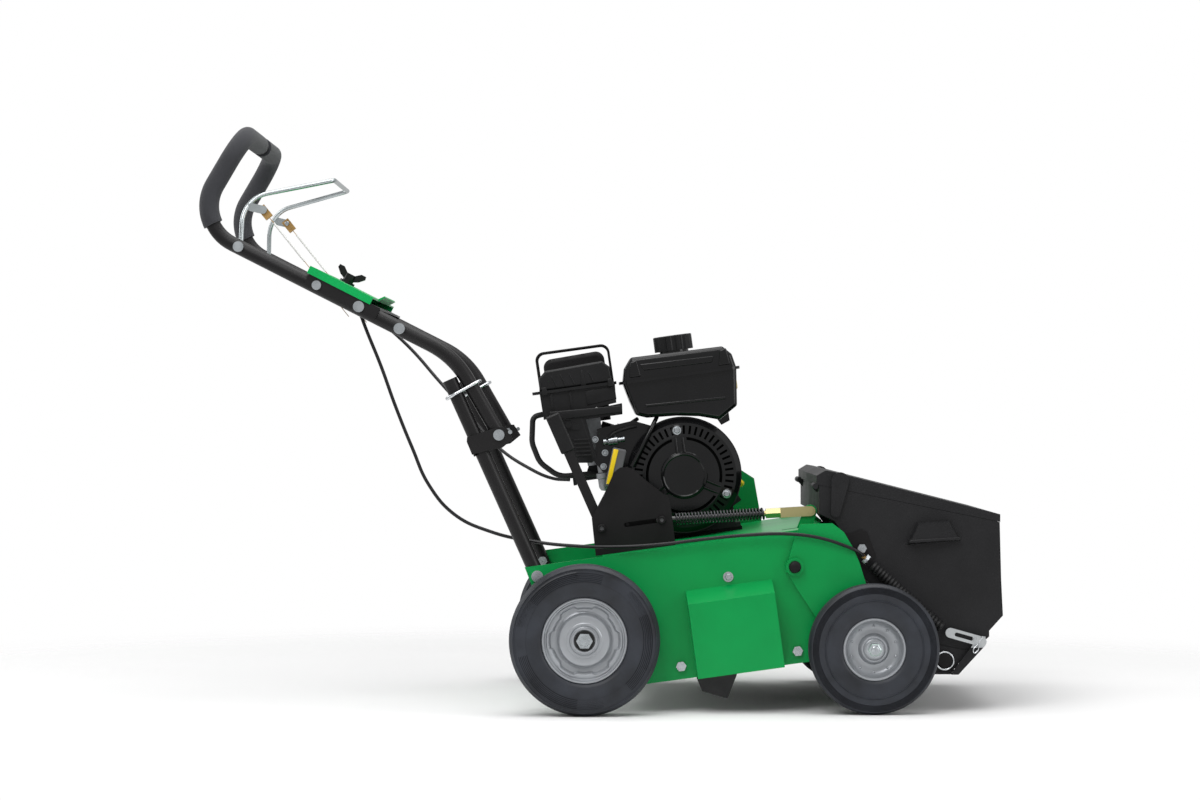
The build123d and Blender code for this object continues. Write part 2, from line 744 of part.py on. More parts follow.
slot_count = 48
spoke_turns = (90, 210, 330)
ring_slots = ((46.0, 51.0), (54.5, 59.5), (63.0, 68.0))
with BuildPart() as recoil_cover:
    with BuildSketch(Plane(origin=deck_point(engine_uv[0], recoil_left, engine_uv[1]), x_dir=Uv.along,
                           z_dir=Uv.up)):
        shape((recoil_r - cover_t, -0.2), (recoil_r, -0.2), (recoil_r, -26), (recoil_r - 8, -35),
              (70, -40), (42, -40), (hub_disc_r, -44), (hub_disc_r, recoil_face - recoil_left),
              (0, recoil_face - recoil_left), (0, recoil_face - recoil_left + cover_t),
              (hub_disc_r - cover_t, recoil_face - recoil_left + cover_t), (hub_disc_r - cover_t, -41),
              (40, -40 + cover_t), (69, -40 + cover_t), (recoil_r - 9, -35 + cover_t),
              (recoil_r - cover_t, -25))
    revolve(axis=shaft_axis(engine_uv))
    with BuildSketch(side(recoil_left - 20)):
        with Locations(engine_uv):
            with PolarLocations(81, slot_count):
                Rectangle(15, 4)
    extrude(amount=30, mode=Mode.SUBTRACT)
    with BuildSketch(side(recoil_left - 20)):
        for inner, outer_r in ring_slots:
            with Locations(engine_uv):
                Circle(outer_r)
                Circle(inner, mode=Mode.SUBTRACT)
        with Locations(engine_uv):
            with PolarLocations(55, len(spoke_turns), start_angle=90):
                Rectangle(40, 26, mode=Mode.SUBTRACT)
    extrude(amount=30, mode=Mode.SUBTRACT)
save(recoil_cover, "recoil_cover")

# Starter grip beside the cover, with the first stretch of its rope
with BuildPart() as starter_grip:
    with BuildSketch(side(-18)) as grip_sketch:
        shape((45, 178.6), (69, 170), (45, 107), (30.8, 108), (22.7, 113.9))
        fillet(grip_sketch.vertices(), 4)
    extrude(amount=26)
    fillet(starter_grip.faces().filter_by(Plane.XZ).edges(), 3)
save(starter_grip, "starter_grip")

# Fuel tank with seam flange and filler neck, and its fluted cap
tank_right, tank_left = -40.0, 150.0
tank_top_v, tank_seam_v = 332.0, 289.0
cap_uv_y = (178.0, 42.0)
cap_r = 35.0
cap_height = 27.0
neck_r = 26.0
neck_top = 343.0
flute_count = 12
with BuildPart() as fuel_tank:
    with BuildSketch(side(tank_left)) as tank_side:
        shape((84, 314), (98, tank_top_v), (262, tank_top_v - 2), (277, 314), (282, tank_seam_v), (274, 222),
              (240, 201), (205, 212), (165, 218.5), (112, 222), (94, 229), (86, 254), (78, tank_seam_v))
        fillet(tank_side.vertices(), 7)
    extrude(amount=tank_left - tank_right)
    fillet(fuel_tank.faces().filter_by(Plane.XZ).edges(), 9)
    with BuildSketch(level(tank_seam_v - 2.5)):
        with Locations((180, (tank_left + tank_right) / 2)):
            RectangleRounded(216, tank_left - tank_right + 14, 22)
    extrude(amount=5)
    with BuildSketch(level(tank_top_v - 8)):
        with Locations(cap_uv_y):
            Circle(neck_r)
    extrude(amount=neck_top - tank_top_v + 8)
    with BuildSketch(side(tank_left - 60)):
        shape((230, 225), (262, 225), (262, 196), (246, 190), (238, 205))
    extrude(amount=8)
save(fuel_tank, "fuel_tank")

with BuildPart() as fuel_cap:
    with BuildSketch(level(neck_top - 8)):
        with Locations(cap_uv_y):
            Circle(cap_r)
            with PolarLocations(cap_r + 4, flute_count):
                Circle(7, mode=Mode.SUBTRACT)
    extrude(amount=cap_height)
    fillet(fuel_cap.faces().sort_by(SortBy.AREA)[-1].outer_wire().edges(), 2)
    with BuildSketch(level(neck_top - 8)):
        with Locations(cap_uv_y):
            Circle(neck_r + clear)
    extrude(amount=8 + clear, mode=Mode.SUBTRACT)
save(fuel_cap, "fuel_cap")

# Air cleaner
cleaner_right, cleaner_left = -30.0, 88.0
with BuildPart() as air_cleaner_base:
    with BuildSketch(side(cleaner_left)):
        shape((-70, 243), (62, 256), (64, 289), (-71, 289))
    extrude(amount=cleaner_left - cleaner_right)
    with BuildSketch(level(289)):
        with Locations((-8.5, (cleaner_left + cleaner_right) / 2)):
            RectangleRounded(151, cleaner_left - cleaner_right + 14, 12)
    extrude(amount=5)
save(air_cleaner_base, "air_cleaner_base")

with BuildPart() as air_cleaner_cover:
    with BuildSketch(side(cleaner_left)) as cleaner_side:
        shape((-71, 294), (-68, 318), (-56, 329), (46, 333), (58, 322), (61, 294))
        fillet(cleaner_side.vertices().group_by(Axis.Z)[1:], 6)
    extrude(amount=cleaner_left - cleaner_right)
    fillet(air_cleaner_cover.faces().filter_by(Plane.XZ).edges().filter_by(
        lambda edge: edge.center().Z > deck_point(0, 0, 298).Z - 12), 4)
save(air_cleaner_cover, "air_cleaner_cover")

# Muffler behind the air cleaner under its wire guard
muffler_right, muffler_left = 100.0, 192.0
guard_wire_r = 2.0
guard_rail = [(-70, 262), (-71, 363), (61, 363), (62, 262)]
guard_uprights = (-50.0, -18.0, 13.0, 42.0)
with BuildPart() as muffler:
    with BuildSketch(side(muffler_left - 8)) as muffler_side:
        shape((-60, 262), (-60, 350), (52, 354), (52, 262))
        fillet(muffler_side.vertices(), 16)
    extrude(amount=muffler_left - muffler_right - 16)
    fillet(muffler.faces().filter_by(Plane.XZ).edges(), 8)
    with BuildSketch(level(226.5)):
        with Locations((38, 146)):
            Circle(11)
    extrude(amount=38)
    for y in (muffler_right - 2, muffler_left):
        with BuildLine():
            FilletPolyline(*[deck_point(u, y, v) for u, v in guard_rail], radius=14)
        with BuildSketch(level(262, u=-70, y=y)):
            Circle(guard_wire_r)
        sweep()
    for u in guard_uprights:
        with BuildSketch(Plane(origin=deck_point(u, muffler_right - 2, 363), x_dir=Uv.along, z_dir=(0, 1, 0))):
            Circle(guard_wire_r)
        extrude(amount=muffler_left - muffler_right + 2)
save(muffler, "muffler")

# Carburettor between the air cleaner and the head, and the control panel in front of it
with BuildPart() as carburettor:
    with BuildSketch(side(54)):
        shape((-4, 178), (-4, 243), (30, 246), (30, 178))
    extrude(amount=28)
    with BuildSketch(level(150)):
        with Locations((10, 40)):
            Circle(14)
    extrude(amount=28)
save(carburettor, "carburettor")

panel_right = -40.0
panel_t = 10.0
with BuildPart() as control_panel:
    with BuildSketch(side(panel_right + panel_t)) as panel_sketch:
        shape((-58, 244), (-52, 232), (-26, 162), (8, 158), (14, 166), (4, 234), (70, 234), (72, 254),
              (2, 249), (-58, 258))
        fillet(panel_sketch.vertices(), 1.5)
    extrude(amount=panel_t)
    with BuildSketch(side(cleaner_right)):
        shape((-40, 244), (50, 247), (50, 235), (-20, 235))
    extrude(amount=6)
save(control_panel, "control_panel")

choke_pivot_uv = (-12.0, 222.0)
with BuildPart() as choke_lever:
    with BuildSketch(side(panel_right - clear)):
        with Locations(choke_pivot_uv):
            Circle(5)
        with Locations((choke_pivot_uv[0] - 16, choke_pivot_uv[1] + 6)):
            Circle(6)
        make_hull()
    extrude(amount=4)
    with BuildSketch(side(panel_right - clear - 4)):
        with Locations((choke_pivot_uv[0] - 16, choke_pivot_uv[1] + 6)):
            Circle(5)
    extrude(amount=5)
save(choke_lever, "choke_lever")

# Breather hose at the engine's rear
hose_r = 5.0
hose_y = 40.0
hose_route = [(-71.2, 253), (-90, 251), (-98, 205), (-89, 168), (-58, 138), (20, 134), (94, 134)]
with BuildPart() as breather_hose:
    with BuildLine():
        hose_line = FilletPolyline(*[deck_point(u, hose_y, v) for u, v in hose_route], radius=[12, 40, 40, 40, 40])
    with BuildSketch(Plane(origin=hose_line @ 0, z_dir=hose_line % 0)):
        Circle(hose_r)
    sweep()
save(breather_hose, "breather_hose")

# Lower handle tubes, with the hinge straps welded round their stubs
stub_top = (-259.1, 565.4)
tube_foot = (-99.0, 207.6)
strap_outline = [
    (-228.9, 467.3), (-178.7, 484.1), (-163.2, 484.1), (-150.7, 464.5), (-169.6, 449), (-202.2, 442.4),
    (-220.4, 437.3), (-229.6, 459.4),
]
strap_web = [(-214.1, 435), (-216.9, 433.8), (-228.5, 459.8), (-225.8, 461)]
strap_inner = tube_r + clear
stub_vector = Vector(stub_top[0] - tube_foot[0], 0, stub_top[1] - tube_foot[1])
with BuildPart() as lower_tubes:
    for outer in (-1, 1):
        y = outer * handle_half_width
        foot_plane = Plane(origin=(tube_foot[0], y, tube_foot[1]), x_dir=(0, 1, 0), z_dir=stub_vector)
        with BuildSketch(foot_plane):
            Circle(tube_r)
        extrude(amount=stub_vector.length)
        with BuildSketch(foot_plane):
            Circle(tube_r - tube_wall)
        extrude(amount=stub_vector.length - 3, mode=Mode.SUBTRACT)
        for cheek_y in (y - strap_inner, y + strap_inner + sheet):
            with BuildSketch(upright(cheek_y)):
                shape(*strap_outline)
                with Locations(fold_pivot):
                    Circle(bolt_r, mode=Mode.SUBTRACT)
            extrude(amount=sheet)
        with BuildSketch(upright(y + strap_inner + sheet)):
            shape(*strap_web)
        extrude(amount=2 * (strap_inner + sheet))
        with BuildSketch(upright(y)):
            with Locations(base_bolt):
                Circle(bolt_r)
        extrude(amount=tube_r + 1, both=True, mode=Mode.SUBTRACT)
save(lower_tubes, "lower_tubes")

# Fasteners fixed to the deck: plate bolts, base bolts, axle nuts, reel bearings, pivot pins
with BuildPart() as deck_fasteners:
    for outer in (-1, 1):
        for u, v in plate_bolts_uv[:2]:
            with BuildSketch(side(outer * (deck_half_width + 3))):
                with Locations((u, v)):
                    RegularPolygon(9, 6)
            extrude(amount=3, both=True)
            with BuildSketch(side(outer * deck_half_width)):
                with Locations((u, v)):
                    Circle(bolt_r)
            extrude(amount=8, both=True)
        with BuildSketch(side(outer * (deck_half_width - sheet / 2))):
            with Locations(reel_uv):
                Circle(reel_bearing_r)
                Circle(reel_shaft_r + running_fit, mode=Mode.SUBTRACT)
        extrude(amount=bearing_half, both=True)
        with BuildSketch(upright(outer * 261)):
            with Locations(base_bolt):
                Circle(bolt_r)
        extrude(amount=17, both=True)
        with BuildSketch(upright(outer * (deck_half_width + 3))):
            with Locations(base_bolt):
                Circle(10)
        extrude(amount=3, both=True)
        with BuildSketch(upright(outer * 242)):
            with Locations(base_bolt):
                RegularPolygon(9, 6)
        extrude(amount=3.5, both=True)
        with BuildSketch(upright(outer * handle_half_width)):
            with Locations(fold_pivot):
                Circle(bolt_r)
        extrude(amount=19, both=True)
        with BuildSketch(upright(outer * (handle_half_width + strap_inner + sheet + 2.5))):
            with Locations(fold_pivot):
                Circle(dome_head_r)
        extrude(amount=2.5, both=True)
        with BuildSketch(upright(outer * (handle_half_width - strap_inner - sheet - 3))):
            with Locations(fold_pivot):
                RegularPolygon(8, 6)
        extrude(amount=3, both=True)
        with BuildSketch(upright(outer * (handle_half_width + strap_inner + sheet + 1.5))):
            with Locations((-155.5, 476)):
                Circle(3.5)
        extrude(amount=1.5, both=True)
        with BuildSketch(upright(outer * 367.8)):
            with Locations((rear_wheel_x, rear_wheel_r)):
                RegularPolygon(14, 6)
                Circle(rear_axle_r, mode=Mode.SUBTRACT)
        extrude(amount=2.2, both=True)
        with BuildSketch(upright(outer * (hopper_half_width + sheet + 3))):
            with Locations((445, 277)):
                RegularPolygon(8, 6)
        extrude(amount=3, both=True)
    with BuildSketch(side(bracket_y + bracket_gap + bracket_t + 1)):
        with Locations(lever_pivot_uv):
            Circle(3)
    extrude(amount=bracket_gap + bracket_t + 4)
    with BuildSketch(side(bracket_y - 0.1)):
        with Locations(lever_pivot_uv):
            Circle(6)
    extrude(amount=3)
    with BuildSketch(side(deck_half_width + 16)):
        with Locations(idler_pivot_uv):
            Circle(idler_stud_r)
    extrude(amount=16)
save(deck_fasteners, "deck_fasteners")

# Hopper of moulded plastic, open at the top, with its seed slot, ears and gate hangers
hopper_wall = 4.0
lid_slope = -0.2038
lid_rear = (368.0, 386.0)
lid_gap = 0.5
lid_hinge = (366.0, 383.0)
hinge_y = 193.0
hinge_lug_r, hinge_lug_t = 4.0, 10.0
hinge_pin_r, hinge_barrel_r = 2.0, 5.0
seat_rear = (372.0, lid_rear[1] + 4 * lid_slope - lid_gap)
seat_front = (681.0, lid_rear[1] + 313 * lid_slope - lid_gap)
hopper_side = [
    (372, 336), (398, 324), (430, 280), (451, 224), (561, 110), (564, 66), (600, 66), (611, 81), (663, 126),
    (663, 136), (686.5, 162), (683.5, 224),
]
slot_rear, slot_front = 574.0, 592.0
agitator_centre = (586.0, 85.3)
agitator_r = 5.0
agitator_paddle = 26.0
link_pin = (640.7, 120.6)
gate_link_y = -261.0
hanger = [
    (548, 58), (614, 58), (614, 86), (611, 84), (611, 61), (551, 61), (551, 87), (567, 87), (567, 90), (548, 90),
]
with BuildPart() as hopper_body:
    with BuildSketch(upright(hopper_half_width)):
        shape(seat_rear, *hopper_side, seat_front)
    extrude(amount=2 * hopper_half_width)
    with BuildSketch(upright(hopper_half_width - hopper_wall)):
        shape((seat_rear[0], seat_rear[1] + 12), *hopper_side, (seat_front[0], seat_front[1] + 12))
        offset(amount=-hopper_wall, kind=Kind.INTERSECTION, mode=Mode.REPLACE)
    extrude(amount=2 * (hopper_half_width - hopper_wall), mode=Mode.SUBTRACT)
    with BuildSketch(Plane.XY.offset(60)):
        with Locations(((slot_rear + slot_front) / 2, 0)):
            Rectangle(slot_front - slot_rear, 2 * hopper_half_width - 40)
    extrude(amount=14, mode=Mode.SUBTRACT)
    for y in (hopper_half_width + 6, -hopper_half_width):
        with BuildSketch(upright(y)):
            with Locations((408, 392)):
                Circle(15)
            with Locations((400, 338)):
                Circle(8)
            make_hull()
        extrude(amount=6)
        with BuildSketch(upright(y)):
            shape((571.2, 66.5), (575, 112), (630, 101), (606, 77), (600.8, 66.5))
        extrude(amount=3 if y < 0 else 6)
    for y in (-200, 200):
        with BuildSketch(upright(y + 10)):
            shape(*hanger)
        extrude(amount=20)
    with BuildSketch(upright(-hopper_half_width)):
        shape((521.6, 283), (539.2, 321.4), (595.2, 324.3), (614.3, 290.4))
    extrude(amount=14, taper=12)
    with BuildSketch(upright(hopper_half_width + 10)):
        with Locations(agitator_centre):
            Circle(agitator_r + running_fit)
    extrude(amount=2 * hopper_half_width + 20, mode=Mode.SUBTRACT)
    for outer in (-1, 1):
        with BuildSketch(upright(outer * hinge_y)):
            with Locations(lid_hinge):
                Circle(hinge_lug_r)
            with Locations((lid_hinge[0] + 8, lid_hinge[1] - 11)):
                Circle(hinge_lug_r - 1.5)
            make_hull()
            with Locations(lid_hinge):
                Circle(hinge_pin_r + clear, mode=Mode.SUBTRACT)
        extrude(amount=hinge_lug_t / 2, both=True)
save(hopper_body, "hopper_body")

lid_half_width = 249.5
lid_outline = [(368, 386), (368, 401), (383, 410), (395, 408), (682, 335), (682, 322)]
with BuildPart() as hopper_lid:
    with BuildSketch(upright(lid_half_width)) as lid_sketch:
        shape(*lid_outline)
        fillet(lid_sketch.vertices().group_by(Axis.Z)[1:], 2.5)
    extrude(amount=2 * lid_half_width)
    with BuildSketch(upright(lid_half_width - 3)):
        shape((372, 370), (371, 398), (384, 406.8), (395, 405), (679, 332.5), (679, 306))
    extrude(amount=2 * lid_half_width - 6, mode=Mode.SUBTRACT)
    for outer in (-1, 1):
        with BuildSketch(upright(outer * hinge_y)):
            with Locations(lid_hinge):
                Circle(hinge_lug_r + 2 * clear)
        extrude(amount=hinge_lug_t / 2 + 2 * clear, both=True, mode=Mode.SUBTRACT)
        barrel_start = hinge_y + hinge_lug_t / 2 + 4 * clear
        with BuildSketch(upright(outer * (barrel_start + lid_half_width) / 2)):
            with Locations(lid_hinge):
                Circle(hinge_barrel_r)
        extrude(amount=(lid_half_width - barrel_start) / 2, both=True)
        with BuildSketch(upright(outer * (hinge_y + barrel_start) / 2)):
            with Locations(lid_hinge):
                Circle(hinge_pin_r)
        extrude(amount=(barrel_start - hinge_y) / 2 + hinge_lug_t / 2, both=True)
save(hopper_lid, "hopper_lid")


# Metering gate under the hopper with its slotted link on the right
gate_rear, gate_front = 566.0, 609.0
gate_bottom, gate_t = 62.0, 3.0
link_start = (595.0, 133.5)
link_end = (648.0, 118.6)
link_slot = (618.0, 127.2)
with BuildPart() as seed_gate:
    with BuildSketch(Plane.XY.offset(gate_bottom)):
        with Locations(((gate_rear + gate_front) / 2, 0)):
            Rectangle(gate_front - gate_rear, 2 * hopper_half_width - 2)
        with Locations((603, (gate_link_y - hopper_half_width) / 2)):
            Rectangle(12, -gate_link_y - hopper_half_width + 6)
        with Locations((599, 0)):
            Rectangle(12, 2 * hopper_half_width - 60, mode=Mode.SUBTRACT)
    extrude(amount=gate_t)
    with BuildSketch(upright(gate_link_y)):
        shape((597, 62), (609, 62), (655, 112), (655, 127), (633, 127), (633, 112), (604, 74))
    extrude(amount=sheet)
    with BuildSketch(upright(gate_link_y - sheet - 0.5)):
        with Locations(link_start, link_end):
            Circle(8.5)
        make_hull()
        with Locations(link_slot):
            SlotCenterToCenter(26, 6.8, rotation=-15.7, mode=Mode.SUBTRACT)
    extrude(amount=sheet)
    with BuildSketch(upright(gate_link_y + 2)):
        with Locations(link_pin):
            Circle(3)
    extrude(amount=13)
    with BuildSketch(upright(gate_link_y - 2 * sheet - 0.5)):
        with Locations(link_pin):
            Circle(6)
    extrude(amount=2.5)
save(seed_gate, "seed_gate")

with BuildPart() as seed_agitator:
    with BuildSketch(upright(hopper_half_width - 1)):
        with Locations(agitator_centre):
            Circle(agitator_r)
    extrude(amount=2 * hopper_half_width + 6)
    with BuildSketch(upright(hopper_half_width - hopper_wall - 3)):
        with Locations(agitator_centre):
            Rectangle(agitator_paddle, 2.5)
            Rectangle(2.5, agitator_paddle)
    extrude(amount=2 * (hopper_half_width - hopper_wall - 3))
    with BuildSketch(upright(-hopper_half_width - 3.5)):
        with Locations(agitator_centre):
            Circle(17)
    extrude(amount=3.5)
save(seed_agitator, "seed_agitator")

# Ribbed rubber boot between the cable adjuster and the slotted link
boot_start = Vector(461.6, -263.0, 248.3)
boot_end = Vector(580.5, -263.0, 141.6)
boot_r, boot_groove_r, boot_bore_r = 10.0, 7.0, 4.0
boot_ribs = 24
boot_vector = boot_end - boot_start
boot_pitch = boot_vector.length / boot_ribs
boot_section = [(boot_bore_r, 0)]
for rib in range(boot_ribs):
    boot_section.append((boot_groove_r, rib * boot_pitch))
    boot_section.append((boot_r, (rib + 0.5) * boot_pitch))
boot_section.append((boot_groove_r, boot_vector.length))
boot_section.append((boot_bore_r, boot_vector.length))
with BuildPart() as cable_boot:
    with BuildSketch(Plane(origin=boot_start, x_dir=(0, 1, 0), z_dir=boot_vector.cross(Vector(0, -1, 0)))):
        shape(*boot_section)
    revolve(axis=Axis(boot_start, boot_vector))
save(cable_boot, "cable_boot")

# Upper handle: one bent tube with foam on the rear bend and the cross bar
leg_end = (-166.7, 457.1)
bend_low = (-251.6, 605.0)
bend_rear = (-698.6, 832.0)
bend_top = (-609.4, 984.3)
bail_pivot = (-618.6, 791.7)
pivot_hole_r = 4.2
handle_radii = [150, 72, 55]


def handle_route(*places):
    return [Vector(x, -handle_half_width, z) for x, z in places]


def mirrored(route):
    return [Vector(p.X, -p.Y, p.Z) for p in reversed(route)]


right_side = handle_route(leg_end, bend_low, bend_rear, bend_top)
with BuildPart() as upper_tube:
    with BuildLine():
        tube_line = FilletPolyline(*right_side, *mirrored(right_side), radius=handle_radii + handle_radii[::-1])
    with BuildSketch(Plane(origin=tube_line @ 0, x_dir=(0, 1, 0), z_dir=tube_line % 0)):
        Circle(tube_r)
        Circle(tube_r - tube_wall, mode=Mode.SUBTRACT)
    sweep()
    for outer in (-1, 1):
        with BuildSketch(upright(outer * handle_half_width)):
            with Locations(fold_pivot):
                Circle(pivot_hole_r)
        extrude(amount=tube_r + 1, both=True, mode=Mode.SUBTRACT)
        with BuildSketch(upright(outer * (handle_half_width - tube_r / 2))):
            with Locations(bail_pivot):
                Circle(bolt_r + running_fit)
        extrude(amount=tube_r / 2 + 1, both=True, mode=Mode.SUBTRACT)
save(upper_tube, "upper_tube")

grip_start = Plane(origin=(-661.8, 0, 831.1), x_dir=(0, 1, 0), z_dir=(-0.432, 0, 0.902))
grip_gap_half = 25.0
with BuildPart() as grips:
    add(tube_line)
    with BuildSketch(Plane(origin=tube_line @ 0, x_dir=(0, 1, 0), z_dir=tube_line % 0)):
        Circle(foam_r)
        Circle(tube_r + running_fit, mode=Mode.SUBTRACT)
    sweep(path=tube_line)
    split(bisect_by=grip_start, keep=Keep.TOP)
    with Locations((bend_top[0], 0, bend_top[1])):
        Box(100, 2 * grip_gap_half, 100, mode=Mode.SUBTRACT)
save(grips, "grips")

# Console across the handle: black plate, sliding seed rate plate on it and the wing knob
console_s = Vector(bend_rear[0] - bend_low[0], 0, bend_rear[1] - bend_low[1]).normalized()
console_n = console_s.cross(Vector(0, -1, 0))
console_origin = Vector(bend_low[0], 0, bend_low[1])
plate_start, plate_end = 148.0, 283.0
plate_bottom, plate_top = 13.0, 16.0
flange_out = 275.2
rate_start, rate_end = 167.0, 287.0
rate_bottom, rate_top = 24.5, 27.0
rate_flange_out = 278.2
knob_s = 242.0
rate_travel = 20.0
clip_y = 213.0
stud_r = 4.0


def console_point(s, y, n):
    return console_origin + console_s * s + console_n * n + Vector(0, y, 0)


def console_side(y):
    """Plane beside the console with x down its length and y square to it, facing left."""
    return Plane(origin=console_point(0, y, 0), x_dir=console_s, z_dir=(0, 1, 0))


def console_level(n):
    return Plane(origin=console_point(0, 0, n), x_dir=console_s, z_dir=console_n)


plate_middle = (plate_start + plate_end) / 2
with BuildPart() as console_plate:
    with BuildSketch(console_level(plate_bottom)):
        with Locations((plate_middle, 0)):
            Rectangle(plate_end - plate_start, 2 * flange_out)
        for y in (-clip_y, clip_y):
            with Locations((plate_end - 30, y)):
                Rectangle(68, 10, mode=Mode.SUBTRACT)
        with Locations((knob_s, 0)):
            Circle(stud_r, mode=Mode.SUBTRACT)
    extrude(amount=plate_top - plate_bottom)
    for y in (-flange_out, flange_out - sheet):
        with BuildSketch(console_side(y)):
            shape((plate_start, -5), (plate_end, -5), (plate_end, plate_top), (plate_start, plate_top))
        extrude(amount=sheet)
save(console_plate, "console_plate")

with BuildPart() as seed_rate_plate:
    with BuildSketch(console_level(rate_bottom)):
        with Locations(((rate_start + rate_end) / 2, 0)):
            Rectangle(rate_end - rate_start, 2 * rate_flange_out)
        with Locations((knob_s, 0)):
            SlotOverall(2 * rate_travel + 2 * stud_r + 1, 2 * stud_r + 1, mode=Mode.SUBTRACT)
        with Locations((rate_end - 6, clip_y), (rate_end - 6, -clip_y)):
            Rectangle(16, 10, mode=Mode.SUBTRACT)
    extrude(amount=rate_top - rate_bottom)
    for y in (-rate_flange_out, rate_flange_out - 2.5):
        with BuildSketch(console_side(y)):
            shape((rate_start, 13.7), (rate_end, 13.7), (rate_end, rate_top), (rate_start, rate_top))
        extrude(amount=2.5)
    with BuildSketch(console_side(-140)):
        shape((rate_start - 8, 36), (rate_start - 6, 37.5), (rate_start + 2.5, rate_top),
              (rate_start + 2.5, rate_bottom), (rate_start, rate_bottom))
    extrude(amount=280)
save(seed_rate_plate, "seed_rate_plate")

knob_base = rate_top + 0.3
with BuildPart() as wing_knob:
    with BuildSketch(console_level(knob_base)):
        with Locations((knob_s, 0)):
            Circle(14)
            Circle(stud_r + running_fit, mode=Mode.SUBTRACT)
    extrude(amount=4)
    with BuildSketch(console_level(knob_base + 4)):
        with Locations((knob_s, 0)):
            Circle(10)
            Circle(stud_r + running_fit, mode=Mode.SUBTRACT)
    extrude(amount=14)
    with BuildSketch(console_side(-3)):
        for wing in (-1, 1):
            shape((knob_s + wing * 6, 32), (knob_s + wing * 18, 38), (knob_s + wing * 27, 47),
                  (knob_s + wing * 26, 53), (knob_s + wing * 17, 53), (knob_s + wing * 6, 44))
    extrude(amount=6)
save(wing_knob, "wing_knob")

with BuildPart() as handle_fasteners:
    with BuildSketch(console_level(plate_bottom - 6)):
        with Locations((knob_s, 0)):
            RegularPolygon(8, 6)
    extrude(amount=6)
    with BuildSketch(console_level(plate_bottom - 1)):
        with Locations((knob_s, 0)):
            Circle(stud_r)
    extrude(amount=knob_base + 17 - plate_bottom)
    for outer in (-1, 1):
        for s, r in ((182.6, dome_head_r), (plate_end - 20, 8)):
            with BuildSketch(console_side(outer * (flange_out + 2))):
                with Locations((s, 2)):
                    Circle(r)
            extrude(amount=2, both=True)
        with BuildSketch(console_side(outer * (handle_half_width + tube_r + 3.05))):
            with Locations((104, 0)):
                Circle(dome_head_r)
        extrude(amount=3, both=True)
        with BuildSketch(upright(outer * (handle_half_width + tube_r + 2.55))):
            with Locations(bail_pivot):
                Circle(9)
        extrude(amount=2.5, both=True)
save(handle_fasteners, "handle_fasteners")

# Bail with its tabs and clip pins
bail_side = [(-618.6, -262, 791.7), (-618.6, -236, 791.7), (-615.5, -224, 877), (-465.2, -150, 913)]
bail_radii = [8, 60, 12]
bail_route = [Vector(*p) for p in bail_side]
clip_pin = (-582.0, 857.3)
clip_pin_r = 2.5
clip_half = 5.0
with BuildPart() as bail:
    with BuildLine():
        bail_line = FilletPolyline(*bail_route, *mirrored(bail_route), radius=bail_radii + bail_radii[::-1])
    with BuildSketch(Plane(origin=bail_line @ 0, z_dir=bail_line % 0)):
        Circle(bolt_r)
    sweep()
    for outer in (-1, 1):
        with BuildSketch(upright(outer * (clip_y + 9))):
            with Locations(clip_pin, (-602, 862)):
                Circle(7)
            make_hull()
        extrude(amount=3.5, both=True)
        with BuildSketch(upright(outer * clip_y)):
            with Locations(clip_pin):
                Circle(clip_pin_r)
        extrude(amount=6, both=True)
save(bail, "bail")

wire_r = 0.6
wire_end = Vector(-434.9, 0, 674.0)
wire_vector = wire_end - Vector(clip_pin[0], 0, clip_pin[1])
clip_plane_x = wire_vector.normalized()
with BuildPart() as bail_clips:
    for y in (-clip_y, clip_y):
        clip_plane = Plane(origin=(clip_pin[0], y, clip_pin[1]), x_dir=clip_plane_x, z_dir=(0, -1, 0))
        with BuildSketch(clip_plane):
            with Locations((5, 0)):
                Rectangle(24, 14)
            Circle(clip_pin_r + running_fit, mode=Mode.SUBTRACT)
        extrude(amount=clip_half, both=True)
        with BuildSketch(Plane(origin=clip_plane.origin + clip_plane_x * 14, x_dir=(0, 1, 0),
                               z_dir=clip_plane_x)):
            Circle(wire_r)
        extrude(amount=wire_vector.length - 14)
save(bail_clips, "bail_clips")

# Lock rings round stub and leg, each a front and a rear half
ring_centre = (-235.6, 548.1)
ring_long = Vector(0.879, 0, 0.478).normalized()
ring_wire_r = 3.0
ring_half_width = 16.5
ring_straight = 15.25
ring_split = 0.25


def ring_plane(y):
    return Plane(origin=(ring_centre[0], y, ring_centre[1]), x_dir=ring_long,
                 z_dir=ring_long.cross(Vector(0, 1, 0)))


def ring_half(way):
    """Way +1 is the half round the leg and -1 the half round the stub."""
    with BuildPart() as part:
        for y in (-handle_half_width, handle_half_width):
            plane = ring_plane(y)
            start = plane.from_local_coords(Vector(way * ring_split, -ring_half_width, 0))
            low = plane.from_local_coords(Vector(way * ring_straight, -ring_half_width, 0))
            tip = plane.from_local_coords(Vector(way * (ring_straight + ring_half_width), 0, 0))
            high = plane.from_local_coords(Vector(way * ring_straight, ring_half_width, 0))
            end = plane.from_local_coords(Vector(way * ring_split, ring_half_width, 0))
            with BuildLine():
                Line(start, low)
                ThreePointArc(low, tip, high)
                Line(high, end)
            with BuildSketch(Plane(origin=start, x_dir=plane.z_dir, z_dir=ring_long * way)):
                Circle(ring_wire_r)
            sweep()
    return part


save(ring_half(1), "lock_rings")
save(ring_half(-1), "ring_keepers")

